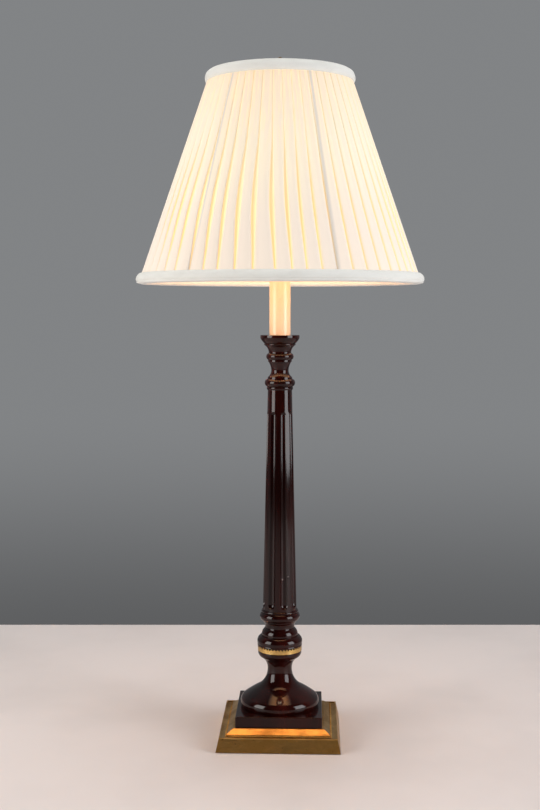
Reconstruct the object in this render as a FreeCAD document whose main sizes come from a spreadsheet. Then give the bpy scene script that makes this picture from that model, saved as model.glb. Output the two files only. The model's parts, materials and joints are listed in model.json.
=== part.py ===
import FreeCAD, Part
import math
import os
import re
import Sketcher

# Candlestick lamp: square brass base, turned and fluted wood column, ivory candle sleeve,
# lampholder with bulb, harp, and a pleated empire shade on a wire frame.
# Millimetres. Origin on the table under the middle of the base, +Z up, front towards -Y.
# Every piece has its own frame with z = 0 at its own foot, and stands on the piece below.

document = FreeCAD.newDocument("CandlestickLamp")
sheet = document.addObject("Spreadsheet::Sheet", "Sizes")

# Driving sizes, one cell each. A "bow" is how far an arc stands off its chord:
# positive swells away from the axis, negative is hollow.
DRIVING = {
    # square base
    "felt_thickness": 2.0,
    "felt_stand_proud": 0.8,
    "felt_gap": 0.3,
    "felt_corner_radius": 4.0,
    "base_side": 137.3,
    "base_wall": 3.2,
    "base_skirt_height": 14.4,
    "base_lip_side": 130.6,
    "base_lip_height": 1.2,
    "base_lip_width": 1.9,
    "base_groove_depth": 1.0,
    "base_bevel_bottom_side": 114.7,
    "base_bevel_top_side": 101.0,
    "base_step_rise": 2.0,
    "base_bevel_rise": 4.7,
    "base_top_thickness": 2.6,
    "weight_gap": 0.6,
    "weight_slab_height": 9.5,
    "weight_boss_side": 80.0,
    "nut_recess_radius": 17.0,
    "nut_recess_depth": 8.6,
    "cord_channel_width": 9.0,
    "cord_channel_depth": 7.0,
    # cord inlet in the back of the base
    "inlet_height": 7.4,
    "inlet_bore_radius": 3.0,
    "inlet_body_radius": 4.6,
    "inlet_flange_radius": 6.2,
    "inlet_flange_thickness": 1.8,
    "inlet_depth": 9.0,
    # threaded pipe and its fasteners
    "pipe_radius": 4.85,
    "pipe_bore_radius": 3.1,
    "pipe_hole_gap": 0.4,
    "pipe_below_nut": 1.2,
    "pipe_into_cap": 7.5,
    "nut_across_flats": 14.3,
    "nut_height": 3.2,
    "lock_washer_radius": 7.6,
    "lock_washer_thickness": 1.0,
    "lock_washer_teeth": 12,
    "lock_washer_tooth_radius": 0.9,
    "washer_radius": 14.0,
    "washer_thickness": 1.4,
    "thread_gap": 0.05,
    "cut_margin": 0.5,
    # wood plinth
    "plinth_side": 96.4,
    "plinth_height": 12.1,
    "plinth_edge_radius": 0.8,
    # bell foot
    "foot_bottom_radius": 43.2,
    "foot_rim_height": 11.6,
    "foot_rim_top_radius": 41.9,
    "foot_rim_bow": 2.1,
    "foot_slope_rise": 11.2,
    "foot_slope_radius": 24.3,
    "foot_slope_bow": 0.35,
    "foot_bell_rise": 20.7,
    "foot_neck_radius": 13.9,
    "foot_bell_bow": -3.1,
    "foot_flare_rise": 12.3,
    "foot_flare_radius": 20.9,
    "foot_flare_bow": -1.75,
    "foot_lip_rise": 8.0,
    "foot_lip_radius": 24.5,
    "foot_lip_bow": 1.6,
    # brass gallery band
    "band_height": 5.8,
    "band_inner_radius": 24.1,
    "band_radius": 25.1,
    "band_gap": 0.1,
    "band_scallops": 44,
    "band_scallop_radius": 1.25,
    # turned collar above the band
    "collar_body_radius": 25.3,
    "collar_groove_radius": 25.1,
    "collar_groove_height": 7.5,
    "collar_lower_bow": 0.15,
    "collar_shoulder_radius": 21.8,
    "collar_shoulder_height": 17.0,
    "collar_shoulder_bow": 1.9,
    "collar_step_radius": 20.3,
    "collar_roll_radius": 17.0,
    "collar_roll_height": 25.4,
    "collar_roll_bow": 1.3,
    "collar_neck_radius": 16.8,
    "collar_neck_height": 26.6,
    "collar_cove_radius": 19.0,
    "collar_cove_height": 33.3,
    "collar_cove_bow": -0.8,
    "collar_ring_bottom_radius": 19.4,
    "collar_ring_bottom_height": 34.3,
    "collar_ring_top_radius": 20.6,
    "collar_ring_top_height": 43.8,
    "collar_ring_bow": 2.8,
    "collar_cap_radius": 20.1,
    "collar_cap_bow": 0.9,
    "collar_height": 46.8,
    # fluted shaft
    "shaft_height": 249.8,
    "shaft_bottom_radius": 19.1,
    "shaft_top_radius": 13.7,
    "flute_count": 8,
    "flute_phase": -73.4,
    "flute_bottom_height": 7.8,
    "flute_top_height": 222.9,
    "flute_bottom_radius": 5.2,
    "flute_bottom_depth": 2.87,
    "flute_top_radius": 3.9,
    "flute_top_depth": 2.15,
    # turned capital with the candle cup
    "capital_foot_radius": 13.7,
    "capital_foot_height": 0.6,
    "capital_step_radius": 14.1,
    "capital_step_height": 3.9,
    "capital_step_bow": 0.8,
    "capital_ring_side_radius": 14.9,
    "capital_ring_height": 8.1,
    "capital_ring_bow": 2.3,
    "capital_collar_height": 2.4,
    "capital_vase_radius": 13.6,
    "capital_vase_rise": 7.8,
    "capital_vase_bow": -1.1,
    "capital_neck_radius": 9.8,
    "capital_flare_rise": 9.4,
    "capital_flare_radius": 12.9,
    "capital_flare_bow": -0.65,
    "capital_fillet_radius": 13.4,
    "capital_fillet_height": 2.0,
    "capital_bead_height": 7.4,
    "capital_bead_side_radius": 13.3,
    "capital_bead_bow": 2.15,
    "capital_waist_radius": 12.7,
    "capital_waist_height": 1.0,
    "capital_bowl_rise": 8.0,
    "capital_bowl_radius": 17.3,
    "capital_bowl_bow": -1.2,
    "capital_line_height": 1.8,
    "capital_line_bow": 0.45,
    "capital_cup_rise": 5.7,
    "capital_cup_radius": 21.8,
    "capital_cup_bow": 0.35,
    "capital_rim_height": 3.8,
    "capital_rim_bow": 0.25,
    "candle_seat_depth": 3.5,
    "candle_seat_gap": 0.15,
    # ivory candle sleeve and the cap on it
    "candle_radius": 11.8,
    "candle_wall": 1.1,
    "candle_height": 71.1,
    "sleeve_cap_radius": 13.0,
    "sleeve_cap_thickness": 1.5,
    "sleeve_cap_spigot": 3.0,
    # harp saddle
    "saddle_reach": 25.0,
    "saddle_width": 13.5,
    "saddle_thickness": 1.4,
    "saddle_bend_radius": 2.0,
    "saddle_arm_height": 8.0,
    "saddle_tongue_height": 6.5,
    "saddle_tongue_width": 4.4,
    # lampholder
    "cap_hub_height": 7.0,
    "cap_hub_radius": 6.8,
    "cap_bowl_height": 13.0,
    "cap_bowl_bow": 2.6,
    "cap_wall": 0.8,
    "cap_rim_radius": 17.4,
    "cap_rim_height": 3.6,
    "set_screw_radius": 1.6,
    "set_screw_length": 3.6,
    "shell_height": 41.0,
    "shell_radius": 16.35,
    "shell_wall": 0.6,
    "shell_in_cap": 5.0,
    "shell_bead_height": 3.0,
    "shell_bead_bow": 0.7,
    "insulator_radius": 15.5,
    "insulator_wall": 0.7,
    "holder_radius": 14.5,
    "holder_height": 18.0,
    "holder_bore_radius": 2.2,
    "holder_well_radius": 9.5,
    "holder_well_depth": 3.0,
    "screw_shell_radius": 13.9,
    "screw_shell_wall": 0.4,
    "screw_shell_height": 22.0,
    "contact_width": 5.0,
    "contact_thickness": 0.6,
    "contact_rise": 2.2,
    "contact_root": 3.0,
    "contact_slope": 3.6,
    "contact_pad": 3.2,
    "terminal_radius": 2.6,
    "terminal_length": 2.4,
    "terminal_spread": 8.0,
    # switch
    "switch_height": 11.0,
    "switch_shaft_radius": 1.7,
    "switch_hole_gap": 0.35,
    "switch_shaft_start": 5.0,
    "switch_knob_gap": 3.5,
    "switch_knob_length": 15.0,
    "switch_knob_end_wall": 2.0,
    "switch_knob_radius": 5.6,
    "switch_knob_bow": 0.5,
    "switch_knob_neck_radius": 3.4,
    "switch_knob_neck_length": 3.0,
    "switch_knob_grooves": 14,
    "switch_knob_groove_radius": 0.7,
    "switch_notch_gap": 0.7,
    # bulb
    "bulb_seat_gap": 0.3,
    "bulb_tip_radius": 4.4,
    "bulb_tip_height": 1.8,
    "bulb_insulator_height": 4.4,
    "bulb_insulator_radius": 9.0,
    "bulb_cap_height": 19.4,
    "bulb_cap_foot_rise": 1.6,
    "bulb_cap_radius": 12.35,
    "bulb_cap_wall": 0.5,
    "bulb_cap_ridges": 5,
    "bulb_cap_ridge_bow": 0.8,
    "bulb_cap_collar": 2.6,
    "bulb_neck_radius": 12.0,
    "bulb_neck_rise": 6.0,
    "bulb_shoulder_rise": 28.0,
    "bulb_shoulder_radius": 25.6,
    "bulb_shoulder_bow": -1.6,
    "bulb_globe_radius": 30.0,
    "bulb_globe_rise": 15.5,
    "bulb_globe_bow": 0.9,
    "bulb_dome_rise": 30.0,
    "bulb_dome_bow": 8.0,
    "bulb_crown_radius": 2.0,
    "bulb_glass_wall": 0.7,
    "bulb_stem_flare_rise": 8.0,
    "bulb_stem_flare_bow": -1.6,
    "bulb_stem_radius": 4.2,
    "bulb_stem_top_radius": 3.0,
    "bulb_stem_height": 34.0,
    "filament_radius": 0.5,
    "filament_half_span": 8.0,
    "filament_rise": 12.0,
    "filament_foot_radius": 2.0,
    "filament_bite": 0.8,
    # harp, its stud and its ferrules
    "harp_height": 203.2,
    "harp_wire_radius": 1.9,
    "harp_foot_radius": 3.2,
    "harp_foot_height": 12.0,
    "harp_foot_lift": 1.2,
    "harp_slot_gap": 0.4,
    "harp_leg_height": 27.0,
    "harp_splay": 52.0,
    "harp_lower_bend": 14.0,
    "harp_upper_bend": 68.0,
    "harp_lean": 7.0,
    "harp_top_bend": 40.0,
    "stud_collar_radius": 4.6,
    "stud_collar_half_height": 3.2,
    "stud_flange_radius": 7.5,
    "stud_flange_thickness": 2.2,
    "stud_radius": 3.12,
    "stud_length": 15.5,
    "ferrule_gap": 0.08,
    "ferrule_wall": 1.0,
    "ferrule_height": 13.0,
    "ferrule_bead_bow": 0.35,
    # shade frame
    "shade_drop": 15.0,
    "shade_height": 232.5,
    "cover_bottom_radius": 157.8,
    "cover_top_radius": 77.0,
    "cover_edge_inset": 2.3,
    "cover_thickness": 0.9,
    "pleat_count": 45,
    "pleat_depth_bottom": 3.2,
    "pleat_depth_top": 1.1,
    "pleat_face_share": 0.8,
    "frame_wire_radius": 1.5,
    "frame_clearance": 0.5,
    "ring_inset": 4.5,
    "weld_bite": 0.3,
    "rib_count": 6,
    "rib_phase": -66.0,
    "lining_gap": 0.4,
    "lining_thickness": 0.6,
    "trim_height": 12.3,
    "trim_bow_bottom": 3.8,
    "trim_bow_top": 3.0,
    "trim_edge": 0.3,
    "trim_wall": 1.0,
    "trim_gap": 0.15,
    "washer_hub_radius": 12.5,
    "washer_hub_bore_radius": 3.6,
    "washer_hub_thickness": 1.6,
    "washer_seat_gap": 0.3,
    "spider_count": 3,
    "spider_phase": 90.0,
    # finial
    "finial_gap": 0.3,
    "finial_bore_gap": 0.08,
    "finial_bore_depth": 16.0,
    "finial_base_radius": 6.6,
    "finial_base_height": 2.4,
    "finial_base_bow": 0.7,
    "finial_neck_radius": 4.5,
    "finial_neck_rise": 3.2,
    "finial_neck_bow": -0.4,
    "finial_body_radius": 7.0,
    "finial_body_rise": 7.6,
    "finial_body_bow": 0.5,
    "finial_shoulder_radius": 4.2,
    "finial_shoulder_rise": 6.2,
    "finial_shoulder_bow": 0.9,
    "finial_waist_radius": 2.6,
    "finial_waist_rise": 2.6,
    "finial_waist_bow": -0.3,
    "finial_knob_radius": 3.6,
    "finial_knob_rise": 3.6,
    "finial_knob_bow": 0.5,
    "finial_tip_rise": 4.2,
    "finial_tip_radius": 0.7,
    "finial_tip_bow": 0.7,
}

# Places and shared sizes worked out from the driving sizes: the stack from the table upwards.
DERIVED = {
    "pipe_hole_radius": "pipe_radius + pipe_hole_gap",
    "base_floor": "felt_stand_proud",
    "base_ledge": "base_skirt_height + base_lip_height",
    "base_step_start": "base_ledge - base_groove_depth",
    "base_bevel_start": "base_step_start + base_step_rise",
    "base_height": "base_bevel_start + base_bevel_rise",
    "base_roof": "base_height - base_top_thickness",
    "base_top": "base_floor + base_height",
    "cavity_bottom_side": "base_side - 2 * base_wall",
    "cavity_knee_side": "base_bevel_bottom_side - 2 * base_wall",
    "cavity_roof_side": "base_bevel_top_side - 2 * base_wall",
    "cavity_knee": "base_step_start - base_top_thickness",
    "weight_side": "base_bevel_bottom_side - 2 * base_wall - 2 * weight_gap",
    "cavity_fall": "(cavity_bottom_side - cavity_knee_side) / cavity_knee",
    "felt_side": "cavity_bottom_side - cavity_fall * (felt_thickness - felt_stand_proud) - 2 * felt_gap",
    "skirt_slope": "(base_side - base_lip_side) / (2 * base_skirt_height)",
    "inlet_face": "base_side / 2 - skirt_slope * (inlet_height - inlet_flange_radius - base_floor)",
    "weight_bottom": "felt_thickness",
    "weight_height": "base_floor + base_roof - felt_thickness",
    "washer_bottom": "weight_bottom + nut_recess_depth - washer_thickness",
    "lock_washer_bottom": "washer_bottom - lock_washer_thickness",
    "nut_bottom": "lock_washer_bottom - nut_height",
    "pipe_bottom": "nut_bottom - pipe_below_nut",
    "pipe_clear_radius": "pipe_radius + thread_gap",
    "plinth_top": "base_top + plinth_height",
    "foot_slope_height": "foot_rim_height + foot_slope_rise",
    "foot_neck_height": "foot_slope_height + foot_bell_rise",
    "foot_flare_height": "foot_neck_height + foot_flare_rise",
    "foot_height": "foot_flare_height + foot_lip_rise",
    "foot_top": "plinth_top + foot_height",
    "collar_top": "foot_top + collar_height",
    "shaft_top": "collar_top + shaft_height",
    "shaft_fall": "(shaft_bottom_radius - shaft_top_radius) / shaft_height",
    "flute_low_across": "shaft_bottom_radius - shaft_fall * flute_bottom_height - flute_bottom_depth"
                        " + flute_bottom_radius",
    "flute_high_across": "shaft_bottom_radius - shaft_fall * flute_top_height - flute_top_depth"
                         " + flute_top_radius",
    "flute_rise": "flute_top_height - flute_bottom_height",
    "flute_reach": "sqrt((flute_low_across - flute_high_across) ^ 2 + flute_rise ^ 2)",
    "flute_sin": "(flute_low_across - flute_high_across) / flute_reach",
    "flute_cos": "flute_rise / flute_reach",
    "capital_ring_bottom": "capital_foot_height + capital_step_height",
    "capital_ring_top": "capital_ring_bottom + capital_ring_height",
    "capital_vase_bottom": "capital_ring_top + capital_collar_height",
    "capital_neck_height": "capital_vase_bottom + capital_vase_rise",
    "capital_flare_height": "capital_neck_height + capital_flare_rise",
    "capital_bead_bottom": "capital_flare_height + capital_fillet_height",
    "capital_bead_top": "capital_bead_bottom + capital_bead_height",
    "capital_bowl_bottom": "capital_bead_top + capital_waist_height",
    "capital_bowl_top": "capital_bowl_bottom + capital_bowl_rise",
    "capital_line_top": "capital_bowl_top + capital_line_height",
    "capital_cup_top": "capital_line_top + capital_cup_rise",
    "capital_height": "capital_cup_top + capital_rim_height",
    "capital_top": "shaft_top + capital_height",
    "candle_bottom": "capital_top - candle_seat_depth",
    "candle_top": "candle_bottom + candle_height",
    "saddle_bottom": "candle_top + sleeve_cap_thickness",
    "saddle_top": "saddle_bottom + saddle_thickness",
    "cap_bottom": "saddle_top",
    "cap_height": "cap_hub_height + cap_bowl_height",
    "cap_top": "cap_bottom + cap_height",
    "pipe_length": "cap_bottom + pipe_into_cap - pipe_bottom",
    "shell_bottom": "cap_top - shell_in_cap",
    "shell_top": "shell_bottom + shell_height",
    "holder_bottom": "shell_bottom",
    "screw_shell_bottom": "holder_bottom + holder_height",
    "switch_level": "shell_bottom + switch_height",
    "switch_hole_radius": "switch_shaft_radius + switch_hole_gap",
    "switch_notch_radius": "switch_shaft_radius + switch_notch_gap",
    "switch_knob_start": "shell_radius + switch_knob_gap",
    "switch_knob_socket": "switch_knob_length - switch_knob_end_wall",
    "switch_shaft_length": "switch_knob_start + switch_knob_socket - thread_gap - switch_shaft_start",
    "contact_length": "contact_root + contact_slope + contact_pad",
    "contact_bottom": "screw_shell_bottom - holder_well_depth",
    "bulb_tip_bottom": "contact_bottom + contact_rise + contact_thickness + bulb_seat_gap",
    "bulb_insulator_bottom": "bulb_tip_bottom + bulb_tip_height",
    "bulb_cap_bottom": "bulb_insulator_bottom + bulb_insulator_height",
    "bulb_glass_bottom": "bulb_cap_bottom + bulb_cap_height",
    "bulb_shoulder_height": "bulb_neck_rise + bulb_shoulder_rise",
    "bulb_globe_height": "bulb_shoulder_height + bulb_globe_rise",
    "bulb_dome_height": "bulb_globe_height + bulb_dome_rise",
    "harp_foot_bottom": "saddle_bottom + saddle_arm_height + harp_foot_lift",
    "splay_cos": "cos(harp_splay * 1 deg)",
    "splay_sin": "sin(harp_splay * 1 deg)",
    "lean_cos": "cos(harp_lean * 1 deg)",
    "lean_sin": "sin(harp_lean * 1 deg)",
    "seat_level": "saddle_top + harp_height",
    "stud_level": "seat_level - stud_flange_thickness - stud_collar_half_height",
    "harp_top_height": "stud_level - harp_foot_bottom",
    "harp_bend_across": "saddle_reach + harp_lower_bend * (1 - splay_cos)",
    "harp_bend_height": "harp_leg_height + harp_lower_bend * splay_sin",
    "harp_side_across": "harp_bend_across + harp_upper_bend * (lean_cos - splay_cos)",
    "harp_side_height": "harp_bend_height + harp_upper_bend * (splay_sin + lean_sin)",
    "harp_arch_height": "harp_top_height - harp_top_bend * (1 - lean_sin)",
    "harp_arch_across": "harp_side_across - (harp_arch_height - harp_side_height) * lean_sin / lean_cos",
    "harp_crown_across": "harp_arch_across - harp_top_bend * lean_cos",
    "ferrule_bottom": "harp_foot_bottom",
    "ferrule_bore_radius": "harp_foot_radius + ferrule_gap",
    "hub_bottom": "seat_level + washer_seat_gap",
    "hub_top": "hub_bottom + washer_hub_thickness",
    "finial_bottom": "hub_top + finial_gap",
    "shade_top": "hub_bottom + shade_drop",
    "shade_bottom": "shade_top - shade_height",
    "cover_slope": "(cover_bottom_radius - cover_top_radius) / shade_height",
    "cover_top_height": "shade_height - cover_edge_inset",
    "weld_offset": "frame_wire_radius - weld_bite",
    "ring_bottom_height": "ring_inset",
    "ring_top_height": "shade_height - ring_inset",
    "frame_inset_bottom": "cover_thickness + pleat_depth_bottom + frame_clearance + frame_wire_radius",
    "frame_inset_top": "cover_thickness + pleat_depth_top + frame_clearance + frame_wire_radius",
    "ring_bottom_radius": "cover_bottom_radius - cover_slope * ring_bottom_height - frame_inset_bottom",
    "ring_top_radius": "cover_bottom_radius - cover_slope * ring_top_height - frame_inset_top",
    "lining_inset_bottom": "frame_inset_bottom + frame_wire_radius + lining_gap",
    "lining_inset_top": "frame_inset_top + frame_wire_radius + lining_gap",
    "lining_top_height": "ring_top_height - 2 * frame_wire_radius",
    "rib_run": "ring_bottom_radius - ring_top_radius",
    "rib_rise": "ring_top_height - ring_bottom_height",
    "rib_length": "sqrt(rib_run ^ 2 + rib_rise ^ 2) - 2 * weld_offset",
    "spider_level": "washer_hub_thickness / 2",
    "spider_out": "ring_top_radius - washer_hub_radius + weld_bite",
    "spider_up": "shade_bottom + ring_top_height - hub_bottom - spider_level",
    "spider_length": "sqrt(spider_out ^ 2 + spider_up ^ 2) - weld_offset",
    "finial_bore_radius": "stud_radius + finial_bore_gap",
    "finial_neck_height": "finial_base_height + finial_neck_rise",
    "finial_body_height": "finial_neck_height + finial_body_rise",
    "finial_shoulder_height": "finial_body_height + finial_shoulder_rise",
    "finial_waist_height": "finial_shoulder_height + finial_waist_rise",
    "finial_knob_height": "finial_waist_height + finial_knob_rise",
    "finial_height": "finial_knob_height + finial_tip_rise",
}

row = 0
for name, content in list(DRIVING.items()) + list(DERIVED.items()):
    row += 1
    sheet.set("A%d" % row, name)
    sheet.set("B%d" % row, "=" + content if name in DERIVED else str(content))
    sheet.setAlias("B%d" % row, name)
document.recompute()

ALIASES = set(DRIVING) | set(DERIVED)
reckoner = document.addObject("Spreadsheet::Sheet", "Reckoner")
pieces = []


def bound(formula):
    """A formula of sheet names as an object outside the sheet writes it."""
    return re.sub(r"[a-z_]+", lambda word: "Sizes." + word.group() if word.group() in ALIASES else word.group(),
                  formula)


def value(formula):
    """The number that a formula of sheet names gives, worked out in a spare sheet."""
    reckoner.set("A1", "=" + bound(formula))
    reckoner.recompute()
    return float(reckoner.get("A1"))


def place(piece, bottom="0", turn=None, across=None):
    """Stand a piece at its height, turned about the lamp's axis or moved along X."""
    if turn is not None:
        piece.Placement.Rotation = FreeCAD.Rotation(FreeCAD.Vector(0, 0, 1), value(turn))
        piece.setExpression("Placement.Rotation.Angle", "(%s) * 1 deg" % bound(turn))
    if across is not None:
        piece.setExpression("Placement.Base.x", bound(across))
    piece.setExpression("Placement.Base.z", bound(bottom))


def new_body(label, bottom="0", turn=None, across=None):
    body = document.addObject("PartDesign::Body", label)
    body.Label = label
    place(body, bottom, turn, across)
    pieces.append(body)
    return body


def new_sketch(body, plane, offset="0", turn=None):
    """A sketch on one of the body's own origin planes, moved along its normal or turned about its up axis."""
    sketch = body.newObject("Sketcher::SketchObject", body.Label + "_sketch")
    origin_plane = [item for item in body.Origin.OriginFeatures if item.Role == plane][0]
    sketch.AttachmentSupport = [(origin_plane, "")]
    sketch.MapMode = "FlatFace"
    if turn is not None:
        sketch.AttachmentOffset = FreeCAD.Placement(FreeCAD.Vector(), FreeCAD.Rotation(FreeCAD.Vector(0, 1, 0), 1))
        sketch.setExpression("AttachmentOffset.Rotation.Angle", "(%s) * 1 deg" % bound(turn))
    sketch.setExpression("AttachmentOffset.Base.z", bound(offset))
    return sketch


def fix_point(sketch, edge, end, across, up):
    """Bind one end of an edge to its two coordinates, or to an axis where one is zero."""
    if across == "0":
        sketch.addConstraint(Sketcher.Constraint("PointOnObject", edge, end, -2))
    else:
        number = sketch.addConstraint(Sketcher.Constraint("DistanceX", -1, 1, edge, end, value(across)))
        sketch.setExpression("Constraints[%d]" % number, bound(across))
    if up == "0":
        sketch.addConstraint(Sketcher.Constraint("PointOnObject", edge, end, -1))
    else:
        number = sketch.addConstraint(Sketcher.Constraint("DistanceY", -1, 1, edge, end, value(up)))
        sketch.setExpression("Constraints[%d]" % number, bound(up))


def draw(sketch, start, steps, closed=True):
    """Draw an outline of lines and arcs: each step is (across, up) or (across, up, bow)."""
    corners = [start] + [step[:2] for step in steps]
    bows = [step[2] if len(step) > 2 else None for step in steps]
    if closed:
        corners.append(start)
        bows.append(None)
    ends = []
    for index, bow in enumerate(bows):
        first = FreeCAD.Vector(value(corners[index][0]), value(corners[index][1]), 0)
        last = FreeCAD.Vector(value(corners[index + 1][0]), value(corners[index + 1][1]), 0)
        if bow is None:
            edge = sketch.addGeometry(Part.LineSegment(first, last), False)
            ends.append((edge, 1, 2))
            continue
        chord = last - first
        outward = FreeCAD.Vector(chord.y, -chord.x, 0).normalize()
        crown = (first + last) * 0.5 + outward * value(bow)
        edge = sketch.addGeometry(Part.Arc(first, crown, last), False)
        forward = sketch.getPoint(edge, 1).distanceToPoint(first) < sketch.getPoint(edge, 2).distanceToPoint(first)
        ends.append((edge, 1, 2) if forward else (edge, 2, 1))
    count = len(ends)
    for index in range(count if closed else count - 1):
        edge, _, end = ends[index]
        next_edge, next_start, _ = ends[(index + 1) % count]
        sketch.addConstraint(Sketcher.Constraint("Coincident", edge, end, next_edge, next_start))
    for index, (edge, begin, end) in enumerate(ends):
        fix_point(sketch, edge, begin, *corners[index])
        if not closed and index == count - 1:
            fix_point(sketch, edge, end, *corners[-1])
    for index, bow in enumerate(bows):
        if bow is None:
            continue
        (across_1, up_1), (across_2, up_2) = corners[index], corners[index + 1]
        chord_squared = "((%s) - (%s))^2 + ((%s) - (%s))^2" % (across_2, across_1, up_2, up_1)
        radius = "abs((%s) / (8 * (%s)) + (%s) / 2)" % (chord_squared, bow, bow)
        number = sketch.addConstraint(Sketcher.Constraint("Radius", ends[index][0], value(radius)))
        sketch.setExpression("Constraints[%d]" % number, bound(radius))
    return sketch


def draw_circle(sketch, radius, across="0", up="0"):
    centre = FreeCAD.Vector(value(across), value(up), 0)
    circle = sketch.addGeometry(Part.Circle(centre, FreeCAD.Vector(0, 0, 1), value(radius)), False)
    fix_point(sketch, circle, 3, across, up)
    number = sketch.addConstraint(Sketcher.Constraint("Radius", circle, value(radius)))
    sketch.setExpression("Constraints[%d]" % number, bound(radius))
    return sketch


def draw_rectangle(sketch, width, depth, across="0", up="0"):
    """A rectangle about a centre that lies on the sketch's vertical or horizontal axis."""
    half_width, half_depth = value(width) / 2, value(depth) / 2
    middle = FreeCAD.Vector(value(across), value(up), 0)
    signs = [(-1, -1), (1, -1), (1, 1), (-1, 1)]
    corners = [middle + FreeCAD.Vector(x * half_width, y * half_depth, 0) for x, y in signs]
    for index in range(4):
        sketch.addGeometry(Part.LineSegment(corners[index], corners[(index + 1) % 4]), False)
    centre = sketch.addGeometry(Part.Point(middle), True)
    for index in range(4):
        sketch.addConstraint(Sketcher.Constraint("Coincident", index, 2, (index + 1) % 4, 1))
    sketch.addConstraint(Sketcher.Constraint("Horizontal", 0))
    sketch.addConstraint(Sketcher.Constraint("Horizontal", 2))
    sketch.addConstraint(Sketcher.Constraint("Vertical", 1))
    sketch.addConstraint(Sketcher.Constraint("Vertical", 3))
    sketch.addConstraint(Sketcher.Constraint("Symmetric", 0, 1, 1, 2, centre, 1))
    fix_point(sketch, centre, 1, across, up)
    number = sketch.addConstraint(Sketcher.Constraint("DistanceX", 0, 1, 0, 2, value(width)))
    sketch.setExpression("Constraints[%d]" % number, bound(width))
    number = sketch.addConstraint(Sketcher.Constraint("DistanceY", 1, 1, 1, 2, value(depth)))
    sketch.setExpression("Constraints[%d]" % number, bound(depth))
    return sketch


def revolve(body, start, steps):
    """Turn a closed half outline about the piece's own axis."""
    sketch = draw(new_sketch(body, "XZ_Plane"), start, steps)
    turned = body.newObject("PartDesign::Revolution", body.Label + "_turned")
    turned.Profile = sketch
    turned.ReferenceAxis = (sketch, ["V_Axis"])
    turned.Angle = 360
    return turned


def turned_piece(label, start, steps, bottom="0", across=None):
    body = new_body(label, bottom, across=across)
    revolve(body, start, steps)
    return body


def ring(label, inner, outer, height, bottom="0"):
    return turned_piece(label, (inner, "0"), [(outer, "0"), (outer, height), (inner, height)], bottom)


def pad(body, sketch, length, midplane=False, reverse=False):
    feature = body.newObject("PartDesign::Pad", body.Label + "_pad")
    feature.Profile = sketch
    feature.setExpression("Length", bound(length))
    feature.Midplane = midplane
    feature.Reversed = reverse
    return feature


def pocket(body, sketch, length, midplane=False, reverse=False):
    """Cut a pocket, and stop if it takes nothing away."""
    document.recompute()
    before = body.Shape.Volume
    feature = body.newObject("PartDesign::Pocket", body.Label + "_pocket")
    feature.Profile = sketch
    feature.setExpression("Length", bound(length))
    feature.Midplane = midplane
    feature.Reversed = reverse
    document.recompute()
    if body.Shape.Volume >= before:
        raise RuntimeError("pocket cuts nothing in " + body.Label)
    return feature


def around(body, features, count):
    """Repeat features evenly around the piece's own axis."""
    pattern = body.newObject("PartDesign::PolarPattern", body.Label + "_around")
    pattern.Originals = features
    pattern.Axis = ([item for item in body.Origin.OriginFeatures if item.Role == "Z_Axis"][0], [""])
    pattern.Angle = 360
    pattern.setExpression("Occurrences", bound(count))
    body.Tip = pattern
    return pattern


def mirror(body, features):
    """Repeat features on the other side of the YZ plane."""
    plane = [item for item in body.Origin.OriginFeatures if item.Role == "YZ_Plane"][0]
    mirrored = body.newObject("PartDesign::Mirrored", body.Label + "_mirrored")
    mirrored.Originals = features
    mirrored.MirrorPlane = (plane, [""])
    body.Tip = mirrored
    return mirrored


def loft(body, sections, kind="PartDesign::AdditiveLoft"):
    feature = body.newObject(kind, body.Label + "_loft")
    feature.Profile = sections[0]
    feature.Sections = sections[1:]
    feature.Ruled = True
    return feature


def round_edges(body, radius, wanted):
    """Fillet the edges of the piece so far that the test picks out."""
    document.recompute()
    solid = body.Tip
    names = ["Edge%d" % (number + 1) for number, edge in enumerate(solid.Shape.Edges) if wanted(edge)]
    feature = body.newObject("PartDesign::Fillet", body.Label + "_rounded")
    feature.Base = (solid, names)
    feature.setExpression("Radius", bound(radius))
    return feature


def upright(edge):
    return abs(edge.tangentAt(edge.FirstParameter).z) > 0.99


def square(body, side, level):
    return draw_rectangle(new_sketch(body, "XY_Plane", level), side, side)


def sweep(body, section, path):
    feature = body.newObject("PartDesign::AdditivePipe", body.Label + "_sweep")
    feature.Profile = section
    feature.Spine = (path, [])
    body.Tip = feature
    return feature


# ---- square brass base, its weight and its felt ----

def make_felt_pad():
    body = new_body("felt_pad")
    pad(body, square(body, "felt_side", "0"), "felt_thickness")
    round_edges(body, "felt_corner_radius", upright)


def make_brass_base():
    body = new_body("brass_base", "base_floor")
    loft(body, [square(body, "base_side", "0"), square(body, "base_lip_side", "base_skirt_height")])
    pad(body, square(body, "base_lip_side", "base_skirt_height"), "base_lip_height")
    pocket(body, square(body, "base_lip_side - 2 * base_lip_width", "base_ledge"), "base_groove_depth")
    pad(body, square(body, "base_bevel_bottom_side", "base_step_start"), "base_step_rise")
    loft(body, [square(body, "base_bevel_bottom_side", "base_bevel_start"),
                square(body, "base_bevel_top_side", "base_height")])
    loft(body, [square(body, "cavity_bottom_side", "0"), square(body, "cavity_knee_side", "cavity_knee")],
         "PartDesign::SubtractiveLoft")
    loft(body, [square(body, "cavity_knee_side", "cavity_knee"), square(body, "cavity_roof_side", "base_roof")],
         "PartDesign::SubtractiveLoft")
    pocket(body, draw_circle(new_sketch(body, "XY_Plane", "base_height"), "pipe_hole_radius"),
           "2 * base_top_thickness")
    inlet = draw_circle(new_sketch(body, "XZ_Plane"), "inlet_body_radius", up="inlet_height - base_floor")
    pocket(body, inlet, "base_side", reverse=False)


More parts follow.
